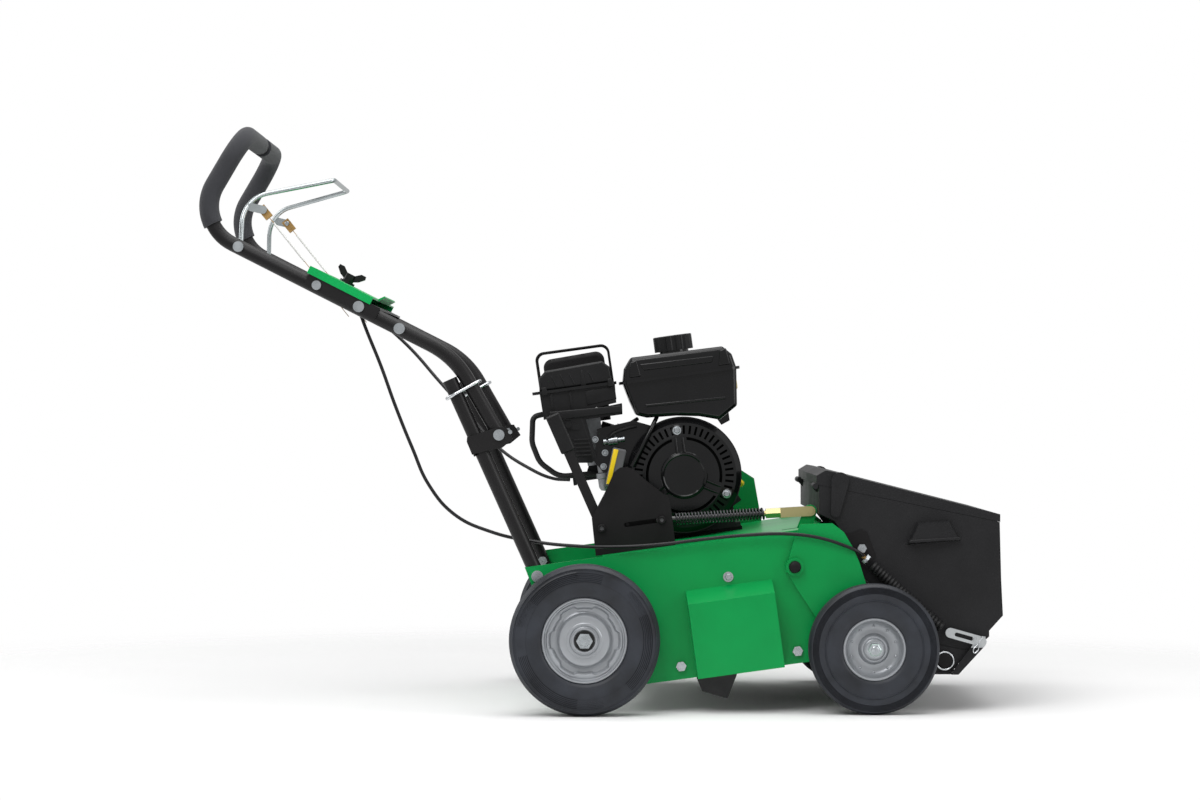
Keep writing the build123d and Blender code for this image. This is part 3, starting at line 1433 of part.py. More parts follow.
# Control cables, each one tube along its real route
cable_r = 3.0
cable_turn_share = 0.45
seed_cable_points = [
    (-418, -228, 690), (-405, -232, 655), (-378, -238, 589), (-353, -240, 520), (-324, -240, 448),
    (-296, -240, 385.5), (-252, -240, 334.5), (-190, -240, 305), (-115, -241, 288), (-45, -262, 281.5),
    (28, -283, 281), (100, -289, 285.5), (172, -290, 294), (245, -290, 301), (318, -290, 303),
    (368, -290, 297), (408, -289.5, 285), (437, -285, 272), (451, -268, 259.5),
]
drive_cable_points = [
    (-440, 205, 704), (-408, 204, 676), (-352, 194, 625), (-300, 170, 567), (-246, 142, 508),
    (-190, 115, 446), (-130, 88, 406), (-88, 72, 388.5), (-57, 62, 386),
]


def turn_radii(points):
    """Bend radius for each inner point, from its shorter run and its turn."""
    places = [Vector(*p) for p in points]
    radii = []
    for before, here, after in zip(places, places[1:], places[2:]):
        turn = radians((here - before).get_angle(after - here))
        shorter = min((here - before).length, (after - here).length)
        radii.append(cable_turn_share * shorter * cos(turn / 2) / sin(turn / 2))
    return radii


def cable(points, name):
    radii = turn_radii(points)
    with BuildPart() as part:
        with BuildLine():
            route = FilletPolyline(*points, radius=radii)
        with BuildSketch(Plane(origin=route @ 0, z_dir=route % 0)):
            Circle(cable_r)
        sweep()
    section_length = pi * cable_r ** 2 * route.length
    print(name, "radii", [round(r) for r in radii], "volume over section times length",
          round(part.part.volume / section_length, 4))
    save(part, name)


cable(seed_cable_points, "seed_cable")
cable(drive_cable_points, "drive_cable")
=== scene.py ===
import math

import bpy
from mathutils import Matrix, Vector

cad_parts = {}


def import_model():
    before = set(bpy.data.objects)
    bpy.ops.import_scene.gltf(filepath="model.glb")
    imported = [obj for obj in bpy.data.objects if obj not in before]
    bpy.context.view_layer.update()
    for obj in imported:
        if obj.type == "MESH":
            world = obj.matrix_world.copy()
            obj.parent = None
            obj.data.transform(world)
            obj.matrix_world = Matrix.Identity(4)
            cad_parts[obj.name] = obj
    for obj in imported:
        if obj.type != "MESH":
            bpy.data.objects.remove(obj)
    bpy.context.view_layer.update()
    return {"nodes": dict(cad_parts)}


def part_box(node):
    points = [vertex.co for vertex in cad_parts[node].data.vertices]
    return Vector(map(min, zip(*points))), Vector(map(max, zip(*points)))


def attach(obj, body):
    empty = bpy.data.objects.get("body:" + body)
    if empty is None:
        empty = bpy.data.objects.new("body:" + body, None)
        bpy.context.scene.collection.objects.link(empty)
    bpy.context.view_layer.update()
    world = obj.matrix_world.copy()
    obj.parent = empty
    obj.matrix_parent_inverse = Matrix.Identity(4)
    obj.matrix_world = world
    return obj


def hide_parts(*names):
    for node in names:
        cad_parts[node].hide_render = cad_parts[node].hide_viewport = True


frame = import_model()

MM = 0.001
PITCH = math.radians(7.8)
DATUM = 263.6
RIGHT = Vector((0, -1, 0))


def deck(u, y, v):
    """Millimetres along, across and square to the pitched deck, as metres in the row frame."""
    return Vector((u * math.cos(PITCH) - v * math.sin(PITCH), y,
                   DATUM + u * math.sin(PITCH) + v * math.cos(PITCH))) * MM


def world(x, y, z):
    return Vector((x, y, z)) * MM


ALONG = deck(1, 0, 0) - deck(0, 0, 0)
UP = deck(0, 0, 1) - deck(0, 0, 0)
ENGINE = (163.5, 112.0)
CRANK = (323.0, -61.0)

# Materials


def link(tree, a, b):
    tree.links.new(a, b)


def surface(name, colour, rough, metallic=0.0, coat=0.0, vary=0.25, vary_scale=14.0, grain=0.0,
            grain_scale=600.0, sheen=0.0, fleck=None, gloss=0.5, beyond=None):
    """A finish with slow colour and roughness variation, fine grain, optional flecks, and an
    optional second colour past an edge: beyond is (axis letter, edge in metres, colour)."""
    material = bpy.data.materials.new(name)
    material.use_nodes = True
    tree = material.node_tree
    shader = tree.nodes["Principled BSDF"]
    shader.inputs["Metallic"].default_value = metallic
    shader.inputs["Coat Weight"].default_value = coat
    shader.inputs["Coat Roughness"].default_value = 0.08
    shader.inputs["Specular IOR Level"].default_value = gloss
    shader.inputs["Sheen Weight"].default_value = sheen
    place = tree.nodes.new("ShaderNodeTexCoord")
    cloud = tree.nodes.new("ShaderNodeTexNoise")
    cloud.inputs["Scale"].default_value = vary_scale
    cloud.inputs["Detail"].default_value = 6.0
    link(tree, place.outputs["Object"], cloud.inputs["Vector"])
    tint = tree.nodes.new("ShaderNodeValToRGB")
    tint.color_ramp.elements[0].position = 0.3
    tint.color_ramp.elements[1].position = 0.7
    tint.color_ramp.elements[0].color = [c * (1 - vary) for c in colour] + [1]
    tint.color_ramp.elements[1].color = [min(1, c * (1 + vary)) for c in colour] + [1]
    link(tree, cloud.outputs["Fac"], tint.inputs["Fac"])
    colour_out = tint.outputs["Color"]
    if fleck:
        dots = tree.nodes.new("ShaderNodeTexNoise")
        dots.inputs["Scale"].default_value = 900.0
        dots.inputs["Detail"].default_value = 1.0
        link(tree, place.outputs["Object"], dots.inputs["Vector"])
        cut = tree.nodes.new("ShaderNodeValToRGB")
        cut.color_ramp.elements[0].position = 0.66
        cut.color_ramp.elements[1].position = 0.74
        link(tree, dots.outputs["Fac"], cut.inputs["Fac"])
        mix = tree.nodes.new("ShaderNodeMix")
        mix.data_type = "RGBA"
        mix.inputs["B"].default_value = (*fleck, 1)
        link(tree, cut.outputs["Color"], mix.inputs["Factor"])
        link(tree, colour_out, mix.inputs["A"])
        colour_out = mix.outputs["Result"]
    if beyond:
        axis, edge, second = beyond
        parts = tree.nodes.new("ShaderNodeSeparateXYZ")
        link(tree, place.outputs["Object"], parts.inputs[0])
        past = tree.nodes.new("ShaderNodeMath")
        past.operation = "GREATER_THAN"
        past.inputs[1].default_value = edge
        link(tree, parts.outputs[axis], past.inputs[0])
        pick = tree.nodes.new("ShaderNodeMix")
        pick.data_type = "RGBA"
        pick.inputs["B"].default_value = (*second, 1)
        link(tree, past.outputs["Value"], pick.inputs["Factor"])
        link(tree, colour_out, pick.inputs["A"])
        colour_out = pick.outputs["Result"]
    link(tree, colour_out, shader.inputs["Base Color"])
    polish = tree.nodes.new("ShaderNodeMapRange")
    polish.inputs["To Min"].default_value = rough * 0.8
    polish.inputs["To Max"].default_value = min(1.0, rough * 1.25)
    link(tree, cloud.outputs["Fac"], polish.inputs["Value"])
    link(tree, polish.outputs["Result"], shader.inputs["Roughness"])
    if grain:
        grit = tree.nodes.new("ShaderNodeTexNoise")
        grit.inputs["Scale"].default_value = grain_scale
        grit.inputs["Detail"].default_value = 3.0
        link(tree, place.outputs["Object"], grit.inputs["Vector"])
        bump = tree.nodes.new("ShaderNodeBump")
        bump.inputs["Strength"].default_value = grain
        bump.inputs["Distance"].default_value = 0.0006
        link(tree, grit.outputs["Fac"], bump.inputs["Height"])
        link(tree, bump.outputs["Normal"], shader.inputs["Normal"])
    return material


GREEN = surface("green powder coat", (0.0, 0.275, 0.060), 0.30, vary=0.05, grain=0.05, grain_scale=420,
                gloss=0.22)
CONSOLE_GREEN = surface("light green powder coat", (0.0, 0.37, 0.085), 0.34, vary=0.05, grain=0.06, gloss=0.24)
BLACK = surface("black powder coat", (0.009, 0.0085, 0.009), 0.33, vary=0.2, grain=0.01,
                grain_scale=300, gloss=0.26)
FLAT_BLACK = surface("flat black steel", (0.009, 0.0085, 0.009), 0.50, vary=0.25, grain=0.15, grain_scale=700,
                     gloss=0.15)
FOAM = surface("grip foam", (0.040, 0.041, 0.046), 0.92, vary=0.16, grain=1.0, grain_scale=1100, sheen=0.15,
               gloss=0.2)


def rubber(name, axle, first, last, arcs):
    """Tyre rubber with painted shade in the wall grooves: near-black, less shiny rings between two radii about the
    axle, all round or in three arcs.
    """
    material = surface(name, (0.018, 0.0205, 0.027), 0.46, vary=0.45, vary_scale=20, grain=0.18, grain_scale=300,
                       gloss=0.30)
    tree = material.node_tree
    shader = tree.nodes["Principled BSDF"]
    plain = shader.inputs["Base Color"].links[0].from_socket

    def value(operation, a, b=0.0):
        node = tree.nodes.new("ShaderNodeMath")
        node.operation = operation
        node.inputs[2].default_value = 0.36
        for slot, item in zip(node.inputs, (a, b)):
            if isinstance(item, (int, float)):
                slot.default_value = item
            else:
                link(tree, item, slot)
        return node.outputs[0]

    place = tree.nodes.new("ShaderNodeTexCoord")
    parts = tree.nodes.new("ShaderNodeSeparateXYZ")
    link(tree, place.outputs["Object"], parts.inputs[0])
    x = value("SUBTRACT", parts.outputs["X"], axle[0] * MM)
    z = value("SUBTRACT", parts.outputs["Z"], axle[1] * MM)
    radius = value("SQRT", value("ADD", value("MULTIPLY", x, x), value("MULTIPLY", z, z)))
    step = (last - first) * MM / 6
    ring = value("LESS_THAN", value("FRACT", value("DIVIDE", value("SUBTRACT", radius, first * MM), step)), 0.42)
    ring = value("MULTIPLY", ring, value("GREATER_THAN", radius, first * MM))
    ring = value("MULTIPLY", ring, value("LESS_THAN", radius, last * MM))
    if arcs:
        turn = value("MULTIPLY", value("ARCTAN2", z, x), 3)
        ring = value("MULTIPLY", ring, value("GREATER_THAN", value("COSINE", value("ADD", turn, 0.6)), -0.25))
    # Painted shade: the groove floors take a near-black colour and lower specular.
    mix = tree.nodes.new("ShaderNodeMix")
    mix.data_type = "RGBA"
    mix.inputs["B"].default_value = (0.008, 0.009, 0.012, 1)
    link(tree, ring, mix.inputs["Factor"])
    link(tree, plain, mix.inputs["A"])
    link(tree, mix.outputs["Result"], shader.inputs["Base Color"])
    link(tree, value("MULTIPLY_ADD", ring, -0.20), shader.inputs["Specular IOR Level"])
    return material


# Both tyres' wall grooves carry painted shade.
REAR_RUBBER = rubber("rear tyre rubber", (-28.7, 127.0), 99.0, 115.6, True)
FRONT_RUBBER = rubber("front tyre rubber", (460.0, 110.0), 94.0, 105.0, False)
RIM = surface("rim enamel", (0.33, 0.345, 0.365), 0.30, metallic=0.45, coat=0.1, vary=0.07, grain=0.04)
ZINC = surface("bright zinc", (0.44, 0.47, 0.49), 0.27, metallic=1.0, vary=0.16, vary_scale=60, grain=0.08)
CHROME = surface("polished wire", (0.60, 0.62, 0.64), 0.14, metallic=1.0, vary=0.08)
BAIL_ZINC = surface("bright zinc rod", (0.46, 0.50, 0.51), 0.24, metallic=1.0, vary=0.12, vary_scale=40)
SPRING = surface("blackened spring wire", (0.045, 0.045, 0.048), 0.24, metallic=0.8, vary=0.15)
BRASS = surface("brass", (0.42, 0.26, 0.10), 0.36, metallic=1.0, vary=0.2, vary_scale=80)
GLOSS = surface("gloss black shell", (0.005, 0.005, 0.0055), 0.15, coat=0.12, vary=0.3, grain=0.02, gloss=0.26)
SHELL = surface("grained black shell", (0.008, 0.008, 0.0085), 0.32, vary=0.25, grain=0.18,
                grain_scale=800, gloss=0.24)
HOPPER = surface("hopper moulding", (0.0115, 0.0115, 0.0125), 0.46, vary=0.18, grain=0.40, grain_scale=650,
                 fleck=(0.032, 0.032, 0.035), gloss=0.22)


def local_end(node, index, pick):
    return pick(vertex.co[index] for vertex in frame["nodes"][node].data.vertices)


LIFT_ROD = surface("lift rod", (0.07, 0.07, 0.07), 0.32, metallic=1.0, vary=0.2, vary_scale=70,
                   beyond=("X", local_end("lift_rod", 0, max) - 0.088, (0.50, 0.44, 0.22)))
GATE = surface("seed gate", (0.020, 0.020, 0.021), 0.36, metallic=0.8, vary=0.16, vary_scale=60, grain=0.08,
               beyond=("Z", local_end("seed_gate", 2, max) - 0.034, (0.50, 0.52, 0.53)))
CAST = surface("cast aluminium", (0.24, 0.25, 0.26), 0.46, metallic=0.85, vary=0.25, vary_scale=40, grain=0.4)
DARK_CAST = surface("dark cast block", (0.022, 0.022, 0.024), 0.5, metallic=0.4, vary=0.25, vary_scale=40, grain=0.4,
                    gloss=0.3)
HOSE = surface("hose rubber", (0.010, 0.010, 0.0105), 0.50, vary=0.15, grain=0.12, gloss=0.3)
CABLE = surface("cable sheath", (0.008, 0.008, 0.009), 0.34, vary=0.12, grain=0.05, gloss=0.3)
YELLOW = surface("yellow plastic", (0.86, 0.60, 0.008), 0.34, vary=0.05, grain=0.05)
WHITE = surface("white liner", (0.72, 0.72, 0.70), 0.4, vary=0.05)
BLADE = surface("blade steel", (0.035, 0.035, 0.036), 0.45, metallic=0.5, vary=0.25, vary_scale=30, grain=0.2,
                gloss=0.3)
# Near-black matte finish used as painted shade in openings: behind the starter cover's slots and in the panel window.
SHADE_DARK = surface("painted shade inside", (0.003, 0.003, 0.003), 0.7, vary=0.2, gloss=0.1)
GREY = surface("grey fitting", (0.10, 0.10, 0.105), 0.45, vary=0.15, grain=0.2, gloss=0.3)

NODE_FINISH = {
    GREEN: ["side_plate_right", "side_plate_left", "deck_top", "bearing_cover", "belt_guard", "front_crank"],
    CONSOLE_GREEN: ["seed_rate_plate"],
    BLACK: ["upper_tube", "lower_tubes", "console_plate", "depth_lever"],
    FLAT_BLACK: ["deck_brackets", "muffler", "slide_bolt", "toggle_link"],
    SPRING: ["lift_spring"],
    BAIL_ZINC: ["bail"],
    FOAM: ["grips"],
    SHELL: ["lever_grip", "air_cleaner_base", "air_cleaner_cover", "control_panel", "choke_lever", "fuel_cap"],
    ZINC: ["rear_axle", "deck_fasteners", "crankshaft", "reel_shaft", "handle_fasteners", "idler_arm",
           "idler_pulley"],
    GATE: ["seed_gate"],
    CHROME: ["lock_rings", "ring_keepers"],
    LIFT_ROD: ["lift_rod"],
    BRASS: ["bail_clips"],
    GLOSS: ["blower_housing", "recoil_cover", "fuel_tank", "wing_knob"],
    GREY: ["starter_grip"],
    DARK_CAST: ["engine_block"],
    CAST: ["carburettor"],
    HOSE: ["breather_hose", "drive_belt", "cable_boot"],
    HOPPER: ["hopper_body", "hopper_lid"],
    BLADE: ["reel_blades", "seed_agitator"],
}
BEVEL = {"hopper_body": 2.0, "hopper_lid": 1.6, "side_plate_right": 0.7, "bearing_cover": 1.0, "deck_top": 0.8,
         "front_crank": 0.8, "deck_brackets": 0.7, "control_panel": 0.8, "air_cleaner_base": 1.2,
         "console_plate": 0.7, "side_plate_left": 0.7, "wing_knob": 1.4,
         "seed_gate": 0.5, "depth_lever": 0.8, "deck_fasteners": 0.6, "handle_fasteners": 0.8}


def soften(obj, width_mm, segments=2):
    bevel = obj.modifiers.new("rounded edges", "BEVEL")
    bevel.width = width_mm * MM
    bevel.segments = segments
    bevel.limit_method = "ANGLE"
    bevel.angle_limit = math.radians(38)
    bevel.harden_normals = False


for finish, names in NODE_FINISH.items():
    for name in names:
        node = frame["nodes"][name]
        node.data.materials.clear()
        node.data.materials.append(finish)
        if name in BEVEL:
            soften(node, BEVEL[name])

# Mesh helpers


def smooth(obj, angle=35):
    for face in obj.data.polygons:
        face.use_smooth = True
    split = obj.modifiers.new("edges", "EDGE_SPLIT")
    split.split_angle = math.radians(angle)


def made(name, verts, faces, material, body, split=35):
    name = name.replace(" ", "_")
    mesh = bpy.data.meshes.new(name)
    mesh.from_pydata([tuple(v) for v in verts], [], faces)
    mesh.validate()
    mesh.update()
    mesh.materials.append(material)
    obj = bpy.data.objects.new(name, mesh)
    bpy.context.scene.collection.objects.link(obj)
    smooth(obj, split)
    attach(obj, body)
    return obj


def lathe(name, centre, axis, profile, material, body, steps=96, wobble=None, split=30):
    """Turns (radius, height) pairs, in mm, about an axis; wobble moves a point by its angle."""
    axis = axis.normalized()
    side = axis.orthogonal().normalized()
    if abs(axis.y) > 0.9:
        side = Vector((1, 0, 0))
    other = axis.cross(side)
    verts, faces = [], []
    count = len(profile)
    for step in range(steps):
        turn = 2 * math.pi * step / steps
        way = side * math.cos(turn) + other * math.sin(turn)
        for radius, height in profile:
            if wobble:
                radius, height = wobble(radius, height, turn)
            verts.append(centre + way * radius * MM + axis * height * MM)
    for step in range(steps):
        nxt = (step + 1) % steps
        for row in range(count - 1):
            faces.append((step * count + row, step * count + row + 1, nxt * count + row + 1, nxt * count + row))
    return made(name, verts, faces, material, body, split)


def prism(name, points, y0, y1, material, body, place=deck, edge_mm=1.0):
    """An outline in the side view, given thickness from y0 to y1, with rounded edges."""
    count = len(points)
    verts = [place(a, y0, b) for a, b in points] + [place(a, y1, b) for a, b in points]
    faces = [tuple(range(count)), tuple(range(2 * count - 1, count - 1, -1))]
    for i in range(count):
        j = (i + 1) % count
        faces.append((i, i + count, j + count, j))
    obj = made(name, verts, faces, material, body)
    obj.modifiers.clear()
    soften(obj, edge_mm, 3)
    return obj


def tube(name, points, radius_mm, material, body, order=3, closed=False):
    """A round wire or hose along a smooth line through control points in metres."""
    name = name.replace(" ", "_")
    curve = bpy.data.curves.new(name, "CURVE")
    curve.dimensions = "3D"
    curve.bevel_depth = radius_mm * MM
    curve.bevel_resolution = 4
    curve.resolution_u = 10
    curve.use_fill_caps = True
    spline = curve.splines.new("NURBS")
    spline.points.add(len(points) - 1)
    for knot, point in zip(spline.points, points):
        knot.co = (*point, 1)
    spline.use_cyclic_u = closed
    spline.use_endpoint_u = not closed
    spline.order_u = order
    curve.materials.append(material)
    obj = bpy.data.objects.new(name, curve)
    bpy.context.scene.collection.objects.link(obj)
    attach(obj, body)
    return obj


def bolt(name, centre, radius, height, body, material=ZINC, axis=RIGHT, socket=False):
    """A hex head on its washer, or a round head with a driver recess."""
    washer = [(0, 0), (radius * 1.45, 0), (radius * 1.45, 0.22 * height), (0, 0.22 * height)]
    lathe(name + " washer", centre, axis, washer, material, body, steps=32)
    top = 0.22 * height
    if socket:
        head = [(radius, top), (radius, top + 0.45 * height), (radius * 0.75, height), (radius * 0.4, height),
                (radius * 0.36, height * 0.7), (0, height * 0.7)]
        lathe(name, centre, axis, head, material, body, steps=32)
    else:
        head = [(radius, top), (radius, 0.88 * height), (radius * 0.86, height), (radius * 0.42, height),
                (radius * 0.40, height * 1.12), (0, height * 1.12)]
        lathe(name, centre, axis, head, material, body, steps=6, split=15)


# Wheels: tyres with fine rings on the wall and shaped rims


def tyre(name, centre, radius, width, rim_r, body, node, rings, arcs):
    """Rings of grooves run round the wall, or only along three arcs of it."""
    crown, depth = 0.494 * width, 1.3
    first, last = radius * rings[0], radius * rings[1]
    line = radius * rings[2]
    wall = [(rim_r - 0.5, -0.38 * width), (rim_r + 2, -0.43 * width), (rim_r + 7, -0.465 * width),
            (line - 1.2, 1.2 - crown), (line - 0.5, -0.1 - crown), (line + 0.5, -0.1 - crown), (line + 1.2, 1.2 - crown)]
    step = (last - first) / 6
    for ring in range(6):
        r = first + step * ring
        wall += [(r, -crown), (r + 0.2 * step, depth - crown), (r + 0.5 * step, depth - crown), (r + 0.7 * step, -crown)]
    wall += [(last + 1, 0.6 - crown), (radius - 6, -0.43 * width), (radius - 1.8, -0.36 * width)]

    def grooved(r, height, turn):
        if arcs and first <= r <= last and math.cos(3 * turn + 0.6) < -0.25:
            height = math.copysign(crown - 0.5, height)
        return r, height

    tread = []
    for groove in range(-2, 3):
        y = groove * 0.13 * width
        tread += [(radius, y - 0.035 * width), (radius - 1.6, y - 0.022 * width), (radius - 1.6, y + 0.022 * width),
                  (radius, y + 0.035 * width)]
    mirrored = [(r, -h) for r, h in reversed(wall)]
    bore = [(rim_r - 0.5, 0.38 * width), (rim_r - 0.5, 0), (rim_r - 0.5, -0.38 * width)]
    obj = lathe(name, centre, Vector((0, 1, 0)), wall + tread + mirrored + bore,
                REAR_RUBBER if arcs else FRONT_RUBBER, body, 144,
                grooved)
    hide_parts(node)
    return obj


def rim(name, centre, outer, r, width, lobes, body, node):
    """A pressed disc facing outwards (outer is +1 on the left): lobed at the rear, a bowl in front."""
    face = width / 2 - 8

    def shoulder(radius, height, turn):
        if lobes and 0.70 * r < radius < 0.90 * r and height > 0:
            wave = max(-1.0, min(1.0, 4.0 * math.cos(lobes * turn)))
            radius += 0.030 * r * wave
        return radius, height

    profile = [(r, -width * 0.40), (r, width * 0.40), (r - 1.2, width * 0.43), (r - 3.2, width * 0.43),
               (r - 4.6, width * 0.40)]
    if lobes:
        profile += [(0.925 * r, face - 6), (0.90 * r, face - 6.5), (0.85 * r, face - 4.5), (0.82 * r, face - 4.5),
                    (0.80 * r, face - 6), (0.775 * r, face - 13), (0.76 * r, face - 14), (0.68 * r, face - 14.5),
                    (0.64 * r, face - 13), (0.605 * r, face - 5), (0.58 * r, face - 3), (0.54 * r, face - 2.2)]
    else:
        profile += [(0.92 * r, face - 3), (0.88 * r, face - 9), (0.80 * r, face - 13), (0.72 * r, face - 15),
                    (0.60 * r, face - 16), (0.50 * r, face - 15), (0.46 * r, face - 12)]
    profile += [(0.42 * r, face - 3), (0.40 * r, face - 2), (0.36 * r, face - 2), (0.33 * r, face - 3.5),
                (0.31 * r, face - 3), (0.30 * r, face - 0.5), (0.28 * r, face), (0.255 * r, face),
                (0.245 * r, face - 2), (0.24 * r, face - 4), (0.16 * r, face - 4)]
    back = [(0.16 * r, -width * 0.36), (0.3 * r, -width * 0.36), (0.3 * r, face - 19), (0.84 * r, face - 19),
            (r - 3, face - 12), (r - 3, -width * 0.40)]
    points = profile + back
    obj = lathe(name, centre, Vector((0, outer, 0)), points + points[:1], RIM, body, 144, shoulder, 28)
    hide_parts(node)
    seal = [(0.235 * r, face - 2), (0.235 * r, face + 0.5), (0.15 * r, face + 0.5), (0.15 * r, face - 2)]
    lathe(name + " bearing seal", centre, Vector((0, outer, 0)), seal, HOSE, body, 48)
    if not lobes:
        for number in range(10):
            turn = 2 * math.pi * (number + 0.5) / 10
            spot = centre + Vector((math.cos(turn), 0, math.sin(turn))) * 0.74 * r * MM
            lathe(f"{name} dimple {number}", spot, Vector((0, outer, 0)),
                  [(0, face - 12.6), (1.0, face - 12.8), (2.0, face - 13.6), (2.6, face - 15.4)], RIM, body,
                  16)
    return obj


REAR = (-28.7, 335.0, 127.0, 70.0, 72.0, (0.78, 0.91, 0.95))
FRONT = (460.0, 313.0, 110.0, 50.0, 53.0, (0.855, 0.955, 0.75))
for side_name, outer in (("right", -1), ("left", 1)):
    for place, sizes, lobes in (("rear", REAR, 6), ("front", FRONT, 0)):
        x, y, r, width, rim_r, rings = sizes
        centre = world(x, outer * y, r)
        body = f"{place}_wheel_{side_name}"
        tyre(f"{place} tyre {side_name}", centre, r, width, rim_r, body, f"{place}_tyre_{side_name}", rings, lobes)
        rim(f"{place} rim {side_name}", centre, outer, rim_r, width, lobes, body, f"{place}_rim_{side_name}")

# Cables, repeated from the part's routes
SEED_CABLE = [
    (-418, -228, 690), (-405, -232, 655), (-378, -238, 589), (-353, -240, 520), (-324, -240, 448),
    (-296, -240, 385.5), (-252, -240, 334.5), (-190, -240, 305), (-115, -241, 288), (-45, -262, 281.5),
    (28, -283, 281), (100, -289, 285.5), (172, -290, 294), (245, -290, 301), (318, -290, 303),
    (368, -290, 297), (408, -289.5, 285), (437, -285, 272), (451, -268, 259.5),
]
DRIVE_CABLE = [
    (-440, 205, 704), (-408, 204, 676), (-352, 194, 625), (-300, 170, 567), (-246, 142, 508),
    (-190, 115, 446), (-130, 88, 406), (-88, 72, 388.5), (-57, 62, 386),
]
CABLE_R = 3.0


def cable(name, route, node):
    """A line through every point of the route, as the part's own cable runs."""
    points = [world(*p) for p in route]
    obj = tube(name, points, CABLE_R, CABLE, "frame")
    line = obj.data
    line.splines.remove(line.splines[0])
    spline = line.splines.new("BEZIER")
    spline.bezier_points.add(len(points) - 1)
    for knot, point in zip(spline.bezier_points, points):
        knot.co = point
        knot.handle_left_type = knot.handle_right_type = "AUTO"
    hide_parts(node)
    return obj


cable("seed cable", SEED_CABLE, "seed_cable")
cable("drive cable", DRIVE_CABLE, "drive_cable")

# Engine dressing: a near-black disc behind the cover as painted shade seen through its slots, hub ring, spokes and
# screws


def on_cover(radius, degrees, y):
    turn = math.radians(degrees)
    return deck(ENGINE[0] + radius * math.cos(turn), y, ENGINE[1] + radius * math.sin(turn))


cover_centre = deck(ENGINE[0], 0, ENGINE[1])
# Painted shade: a near-black disc stands for the shade seen through the cover's slots.
lathe("painted shade disc", cover_centre, RIGHT, [(0, 30), (92, 30), (92, 6), (0, 6)], SHADE_DARK, "frame")
lathe("cover rim bead", cover_centre, RIGHT, [(96, 29), (99.5, 28), (101.2, 24), (98, 23), (95, 27), (96, 29)],
      GLOSS, "frame", 144)
lathe("hub ring", cover_centre, RIGHT, [(38.2, 44), (41, 47), (40.5, 50.5), (37, 51.5), (35, 50.2), (34.5, 46)],
      GLOSS, "frame", 96)
for spoke in (90, 210, 330):
    for offset in (-9, 9):
        inner = on_cover(41, spoke + offset, -47)
        outer_point = on_cover(72, spoke + offset * 0.55, -41)
        tube(f"cover spoke {spoke} {offset}", [inner, (inner + outer_point) / 2, outer_point], 2.6, GLOSS,
             "frame")
for number, (radius, turn) in enumerate(((80.7, 91.3), (82.6, -31.3), (81.5, 211.0))):
    boss = on_cover(radius, turn, 0)
    lathe(f"cover boss {number}", boss, RIGHT, [(0, 34), (10.5, 34), (10, 41.5), (8, 43), (0, 43)], GLOSS, "frame",
          32)
    lathe(f"cover screw {number}", boss, RIGHT,
          [(7.6, 43), (7.6, 44), (5.4, 44.4), (5.2, 47.2), (4.2, 48.4), (2.4, 48.4), (2.2, 46.6), (0, 46.6)],
          ZINC, "frame", 32)

# Starter grip with its yellow insert
prism("starter grip insert", [(46, 175.5), (54.5, 172.5), (32, 114.5), (24.6, 115.4)], -46.3, -43.5, YELLOW,
      "starter")

# Black strut, dipstick and hoses round the blower housing
tube("cover strut", [deck(130, -22, 221), deck(124, -40, 212), deck(100, -47, 178), deck(74, -47, 140)], 3.8, GLOSS,
     "frame")
tube("fuel hose", [deck(96, 20, 222), deck(78, 6, 214), deck(52, 4, 196), deck(38, 30, 190)], 3.6, HOSE, "frame")
tube("ignition lead", [deck(92, -6, 210), deck(60, -14, 208), deck(38, -18, 196), deck(20, 10, 176)], 3.4, HOSE,
     "frame")
lathe("fuel tap", deck(46, -8, 190), ALONG, [(0, -16), (6, -16), (6, -8), (8.5, -7), (8.5, 9), (5, 10), (5, 22), (0, 22)],
      ZINC, "frame", 24)
lathe("drain cup", deck(22, 6, 118), UP, [(0, -16), (8, -14), (11, -8), (11, 6), (13, 8), (13, 16), (9, 18), (9, 40),
                                          (0, 40)], CAST, "frame", 32)
for number, (u, v) in enumerate(((24, 146), (30, 170), (16, 196))):
    bolt(f"carburettor screw {number}", deck(u, -6, v), 4.0, 5.0, "frame", socket=True)
lathe("dipstick cap", deck(260, 44, 84), ALONG * 0.8 + UP * 0.6, [(0, -26), (6, -26), (6, -4), (10, -3), (11, 0),
                                                               (11, 5), (8, 8), (0, 8)], YELLOW, "frame",
      24)
lathe("tank tap disc", deck(278, 20, 262), ALONG, [(0, -4), (11, -4), (11, 2), (9.5, 3.2), (0, 3.2)], YELLOW,
      "frame", 32)

# Air cleaner: ribs on the cover, clips, and a blank panel on the base
for number, u in enumerate((-40, -24, -8, 26)):
    tube(f"cleaner rib {number}", [deck(u, -30.2, 299), deck(u - 2, -30.6, 310), deck(u - 9, -28.5, 322)], 1.2,
         SHELL, "frame")
prism("cleaner buttress", [(4, 294), (13, 294), (10, 322), (7, 322)], -31.2, -27, SHELL, "frame",
      edge_mm=0.6)
prism("cleaner panel", [(10, 258), (60, 263), (58, 286), (9, 284)], -31.6, -29, SHELL, "frame")
for number, u in enumerate((-54, -20)):
    prism(f"cleaner base rib {number}", [(u, 247), (u + 4, 247), (u + 5, 288), (u + 1, 288)], -32.5, -29, SHELL,
          "frame", edge_mm=0.5)
for number, u in enumerate((-62, 56)):
    prism(f"cleaner latch {number}", [(u - 5, 286), (u + 5, 286), (u + 4, 300), (u - 4, 300)], -39, -34, SHELL,
          "frame", edge_mm=0.8)
